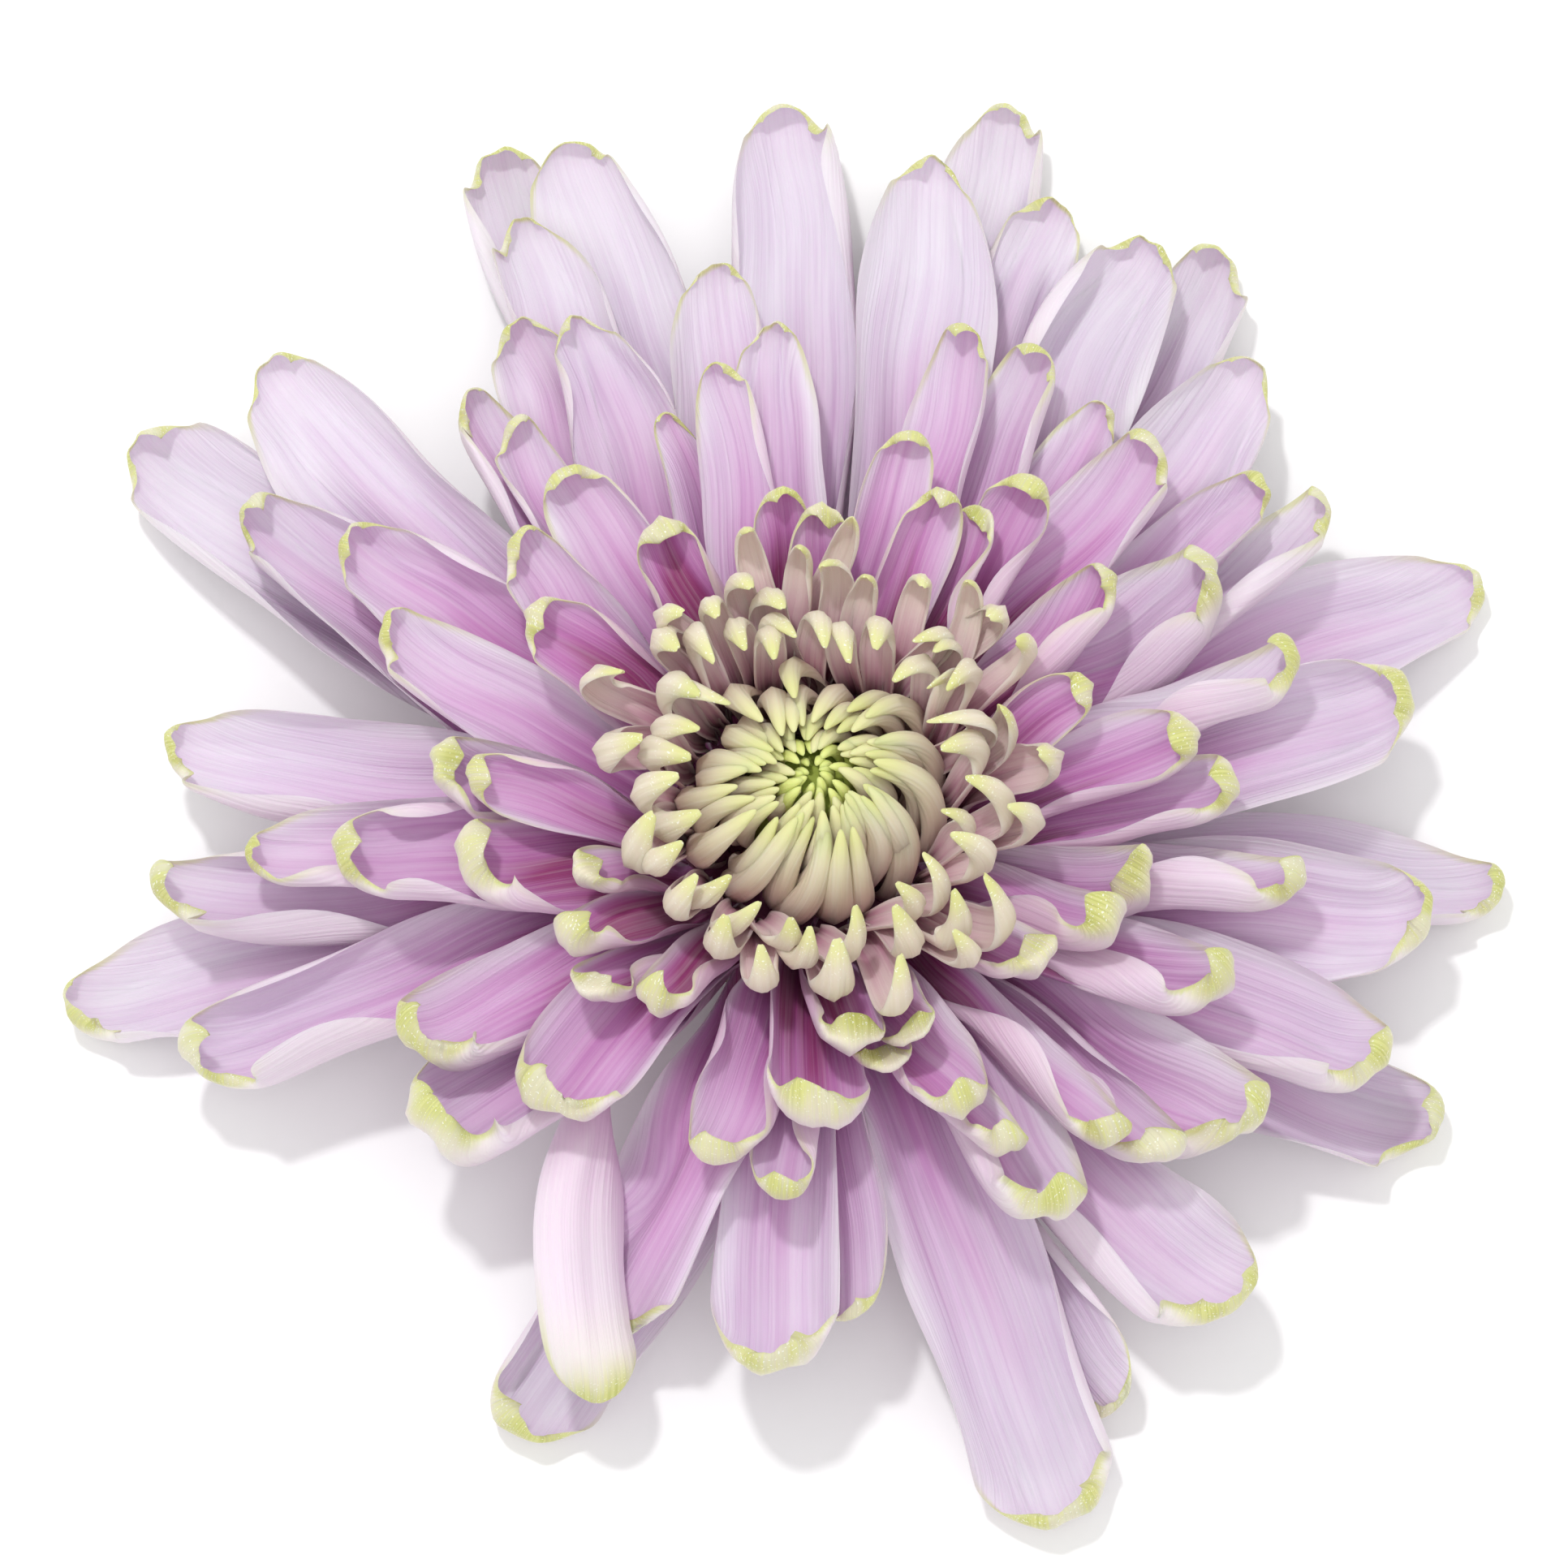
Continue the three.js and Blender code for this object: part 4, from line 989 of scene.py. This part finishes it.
def ballMaterial(colours=ballColours):
    shop = Shop("incurvedPetal")
    grain = shop.layer("floretGrain")
    _, fromTip, deep = shop.layer("floretTint")
    toned = shop.add("ShaderNodeAttribute", {"attribute_name": "ringTone"}, output="Fac")
    ridge = veins(shop, grain, 0.4, 0.06)
    fine = veins(shop, grain, 0.14, 0.09)
    # darker low down, painted shade between the florets
    colour = shop.ramp(deep + (toned - 0.5) * 0.15, colours["skin"])
    colour = shop.mix(shop.ease(ridge, 0.4, 0.62) * 0.22, colour, colours["vein"])
    colour = shop.mix(shop.ease(fromTip, 4.4, 0.4) * 0.62, colour, shop.mix(toned, *colours["green"]))
    return shop.finish(colour, 0.44 + fine * 0.14, ridge + fine * 0.35, 0.00011, petalSkin)


eyeColours = {"skin": [(0.0, (226, 228, 150)), (0.4, (212, 220, 124)), (1.0, (168, 184, 82))],
              "vein": (222, 226, 150)}


def eyeMaterial(colours=eyeColours):
    shop = Shop("eyePetal")
    grain = shop.layer("floretGrain")
    deep = shop.layer("floretTint")[2]
    fine = veins(shop, grain, 0.14, 0.09)
    # lighter at the top and deeper green lower down, the lower part painted shade towards the gaps between
    # the eye's florets
    colour = shop.mix(shop.ease(fine, 0.4, 0.6) * 0.3, shop.ramp(deep, colours["skin"]), colours["vein"])
    return shop.finish(colour, 0.42 + fine * 0.1, fine, 0.00008, petalSkin)


bedColours = {"shadePlum": [(92, 34, 62), (128, 66, 96)], "green": [(150, 164, 66), (186, 198, 96)],
              "greenFrom": [20.0, 26.0]}  # heights


def bedMaterial(colours=bedColours):
    # painted shade: dark plum low down, dark green where it shows between the florets of the eye
    shop = Shop("receptacleShade")
    place = shop.add("ShaderNodeTexCoord", None, None, "Object")
    grit = shop.noise(place, 3.0, 0.5, 900.0)
    height = shop.add("ShaderNodeSeparateXYZ", None, {0: place}, 2) * (1 / millimetre)
    greenness = shop.ease(height, *colours["greenFrom"])
    dark, light = (shop.mix(greenness, *pair) for pair in zip(colours["shadePlum"], colours["green"]))
    colour = shop.mix(grit, dark, light)
    return shop.finish(colour, 0.6 + grit * 0.1, grit, 0.0003, {"Specular IOR Level": 0.2})


def leafMaterial(name, light, dark):
    shop = Shop(name)
    grain = shop.layer("floretGrain")
    deep = shop.layer("floretTint")[2]
    ridge = veins(shop, grain, 0.5, 0.06)
    colour = shop.mix(shop.ease(ridge, 0.35, 0.65), dark, light)
    colour = shop.mix(shop.ease(deep, 0.3, 1.0) * 0.5, colour, dark)
    return shop.finish(colour, 0.5 + ridge * 0.15, ridge, 0.0002, {"Specular IOR Level": 0.35})


lilac = lilacMaterial()
cream = creamMaterial()
incurved = ballMaterial()
eyeGreen = eyeMaterial()
shadePlum = bedMaterial()
leafGreen = leafMaterial("bractSkin", (150, 172, 104), (92, 118, 62))
stalkGreen = leafMaterial("stalkSkin", (164, 184, 118), (112, 138, 78))

print("stage: ray and hooked florets")
for group, parts in rayParts.items():
    name = group + "RayFlorets"
    addPiece(name, floretMesh(name, joinParts(parts)), lilac, "ray_florets")
addPiece("hookedFlorets", floretMesh("hookedFlorets", joinParts(hookedParts)), cream, "centre_florets")

print("stage: incurved centre and eye")
incurvedLook = {
    "cup": 46, "rimAngle": [[20, 60], [46, 112]], "rimSpread": [1, 1],
    "floorFlatness": [[20, 1.3], [46, 1.1]], "lopsided": [[0, 0.1]], "keel": [[0, 0]],
    "hoodAngle": [108, 108], "hoodSpan": [0.2, 0.2], "horned": 0, "rests": 0, "away": 0,
    "centred": False, "shows": 0.9, "taper": 0.66, "widest": 0.35, "baseWidth": 0.6,
    "tipWidth": [[0, 0.05]], "tipPower": [1.25, 1.25], "tipSharpness": [0.72, 0.72], "ragged": [0, 0],
    "skew": 0, "edgeWave": 0, "sway": 0.04, "groove": 0.04, "grooves": [0], "crumple": 0,
    "twistWave": 0, "thickness": 0.5,
    "whorls": 9,  # from the rim of the ball to the eye
    "eyeWhorls": 2,
    "inWhorl": 10,
    "turnStep": 137.5,  # from each floret to the next, which keeps them from standing in rows
    "widths": [1.3, 3.7],  # innermost and outermost
    "feet": [26.0, 14.0],  # height at which the colour, darkened there as painted shade, is deepest, innermost and outermost
    "mesh": (26, 11),
    "seed": 5,
    # radius and height of the curve that a floret follows, innermost and outermost
    "innerPath": [(1.2, 27), (2.2, 29.4), (1.9, 31.2), (0.7, 30.9)],
    "outerPath": [(8.6, 15), (13.4, 19.5), (13.2, 30.9), (5.6, 32.2)],
}
eyeLook = dict(incurvedLook, thickness=0.4, mesh=(16, 9))


def whorl(k, look):
    # one turn of the spiral of florets that makes the ball, from the rim inwards
    share = 1 - k / (look["whorls"] - 1)
    bulge = share ** 0.8
    path = [tuple(between(pair, bulge) for pair in zip(*ends))
            for ends in zip(look["innerPath"], look["outerPath"])]
    return {"count": look["inWhorl"], "first": -k * look["inWhorl"] * look["turnStep"],
            "step": -look["turnStep"], "swirl": 24, "width": between(look["widths"], share ** 0.75),
            "path": path, "turnSpread": 6, "tiltSpread": 5, "sizeSpread": 0.05, "liftSpread": 0.3,
            "seed": 40 + k, "top": 33.0, "foot": between(look["feet"], share)}


def addRings(name, rings, look, material, node, rng, more=()):
    meshes = [ringMesh(ring, look, material, rng) for ring in rings]
    addPiece(name, joinMeshes(name, [*meshes, *more]), material, node)


rng = np.random.default_rng(incurvedLook["seed"])
whorls = [whorl(k, incurvedLook) for k in range(incurvedLook["whorls"])]
eyeStart = incurvedLook["whorls"] - incurvedLook["eyeWhorls"]
addRings("incurvedFlorets", whorls[:eyeStart], incurvedLook, incurved, "centre_florets", rng)
addRings("eyeFlorets", whorls[eyeStart:], eyeLook, eyeGreen, "eye_florets", rng)


# The solid parts that the florets grow from: radius and height of each outline
profiles = {
    "receptacle": [(0, 10.4), (10.6, 10.4), (13.6, 11.6), (14.2, 13.2), (12.6, 15.6), (9.6, 17.4), (5, 18),
                   (0, 18.2)],
    "heart": [(0, 15.5), (8.4, 15.8), (8.2, 19), (6.6, 23), (4.4, 26.6), (2.2, 28.6), (0, 29)],
    "cup": [(0, 5.05), (2.9, 5.05), (4.4, 5.5), (6.4, 6.6), (9.2, 8.4), (10.4, 9.9), (0, 9.95)],
    "stalk": [(0, 0.8), (1.2, 0.85), (2.5, 0.8), (2.8, 1.05), (2.82, 2.4), (2.86, 3.6), (2.95, 4.6),
              (0, 4.7)],
}


def turnedMesh(name, segments, wobble=0.0, ribs=0):
    # a closed solid of revolution, both ends on the axis
    profile = np.array(profiles[name], float)
    angles = np.linspace(0, 2 * np.pi, segments, endpoint=False)
    inner = profile[1:-1]
    points = [np.array([[0, 0, profile[0, 1]]])]
    for r, z in inner:
        radius = r * (1 + wobble * np.cos(ribs * angles))
        points.append(np.stack([radius * np.cos(angles), radius * np.sin(angles), np.full(segments, z)], 1))
    points.append(np.array([[0, 0, profile[-1, 1]]]))
    points = np.concatenate(points)
    last = len(points) - 1
    top = 1 + (len(inner) - 1) * segments
    faces = []
    for k in range(segments):
        after = (k + 1) % segments
        faces.append([0, 1 + after, 1 + k])
        for a in range(1, top, segments):
            b = a + segments
            faces.append([a + k, a + after, b + after, b + k])
        faces.append([top + k, top + after, last])
    turn = np.arctan2(points[:, 1], points[:, 0])
    reach = np.hypot(points[:, 0], points[:, 1])
    zero = np.zeros(len(points))
    part = {"points": points, "place": np.stack([zero, zero, zero], 1),
            "grain": np.stack([turn * 6, points[:, 2], reach], 1),
            "tint": np.stack([zero + 0.5, zero + 20, zero], 1)}
    mesh = layeredMesh(name, part, faces)
    mesh.update()
    return mesh


print("stage: receptacle, bracts and stalk")
# the receptacle and the heart show in the gaps between florets and carry the painted shade there
addPiece("receptacle", turnedMesh("receptacle", 64), shadePlum, "ray_florets")
addPiece("heart", turnedMesh("heart", 48), shadePlum, "centre_florets")

bractLook = dict(
    incurvedLook, cup=26, shows=0.97, rimAngle=[[20, 30], [46, 60]], hoodAngle=[36, 36], taper=0.5,
    baseWidth=0.8, tipWidth=[[0, 0.12]], groove=0.02, thickness=0.45, widest=0.3, tipPower=[1.6, 1.6],
    mesh=(16, 9))
bractRings = [
    {"count": 10, "width": 4.4, "first": 0, "path": [(3.4, 5.9), (6.5, 6.2), (9.5, 7.2), (12.4, 8.9)]},
    {"count": 12, "width": 4.6, "first": 15, "path": [(5.6, 7.0), (8.6, 7.4), (11.8, 8.1), (14.4, 9.6)]},
    {"count": 14, "width": 4.6, "first": 4, "path": [(7.6, 8.4), (10.4, 8.6), (13.2, 9.0), (15.6, 10.0)]},
]
for k, ring in enumerate(bractRings):
    ring.update(swirl=2, turnSpread=3.0, tiltSpread=2.0, sizeSpread=0.06, liftSpread=0.05, seed=70 + k,
                top=10.0, foot=5.0)
addRings("bracts", bractRings, bractLook, leafGreen, "involucre", rng, [turnedMesh("cup", 48)])
addPiece("stalk", turnedMesh("stalk", 72, wobble=0.018, ribs=12), stalkGreen, "stem")

# Floor, light and camera
studio = {
    "floorTone": (250, 250, 250), "floorReach": 4, "worldTone": (255, 255, 255), "worldStrength": 0.87,
    "keyPower": 2.0, "keySize": 0.05, "keyPlace": (-0.13, 0.14, 0.75),
    "fillPower": 0.8, "fillSize": 0.4, "fillPlace": (0.05, -0.3, 0.9), "lampTarget": (0, 0, 0.01),
}
view = {"elevation": 72, "distance": 0.65, "lens": 164.72, "sensor": 36, "clip": (0.01, 20),
        "aim": (-2.7, 2.74, 19.5)}

far = studio["floorReach"]
floorMesh = bpy.data.meshes.new("floor")
floorMesh.from_pydata([(-far, -far, 0), (far, -far, 0), (far, far, 0), (-far, far, 0)], [], [(0, 1, 2, 3)])
floor = bpy.data.objects.new("floor", floorMesh)
bpy.context.scene.collection.objects.link(floor)
floorShop = Shop("paleFloor")
floorMesh.materials.append(floorShop.skin({
    "Base Color": tone(*studio["floorTone"]), "Roughness": 0.9, "Specular IOR Level": 0.0}))
floor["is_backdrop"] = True

world = bpy.data.worlds.new("studio")
world.use_nodes = True
background = world.node_tree.nodes["Background"]
background.inputs["Color"].default_value = tone(*studio["worldTone"])
background.inputs["Strength"].default_value = studio["worldStrength"]
bpy.context.scene.world = world

for name in ("key", "fill"):
    lampData = bpy.data.lights.new(name + "Lamp", "AREA")
    lampData.energy = studio[name + "Power"]
    lampData.size = studio[name + "Size"]
    lamp = bpy.data.objects.new(name + "Lamp", lampData)
    lamp.location = studio[name + "Place"]
    beam = Vector(studio["lampTarget"]) - Vector(studio[name + "Place"])
    lamp.rotation_euler = beam.to_track_quat("-Z", "Y").to_euler()
    bpy.context.scene.collection.objects.link(lamp)

cameraData = bpy.data.cameras.new("camera")
cameraData.sensor_width = view["sensor"]
cameraData.lens = view["lens"]
cameraData.clip_start, cameraData.clip_end = view["clip"]
camera = bpy.data.objects.new("camera", cameraData)
aim = Vector(np.array(view["aim"]) * millimetre + bloomAxis)
tiltUp = math.radians(view["elevation"])
camera.location = aim + Vector((0, -math.cos(tiltUp), math.sin(tiltUp))) * view["distance"]
camera.rotation_euler = (math.radians(90) - tiltUp, 0, 0)
bpy.context.scene.collection.objects.link(camera)
bpy.context.scene.camera = camera
bpy.context.scene.view_settings.view_transform = "Standard"

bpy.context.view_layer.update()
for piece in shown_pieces():
    corners = np.zeros(len(piece.data.vertices) * 3)
    piece.data.vertices.foreach_get("co", corners)
    count = sum(len(p.vertices) - 2 for p in piece.data.polygons)
    top = corners.reshape(-1, 3)[:, 2].max() / millimetre
    print("piece", piece.name, count, "triangles, top", round(top, 2))
print("stage: done")
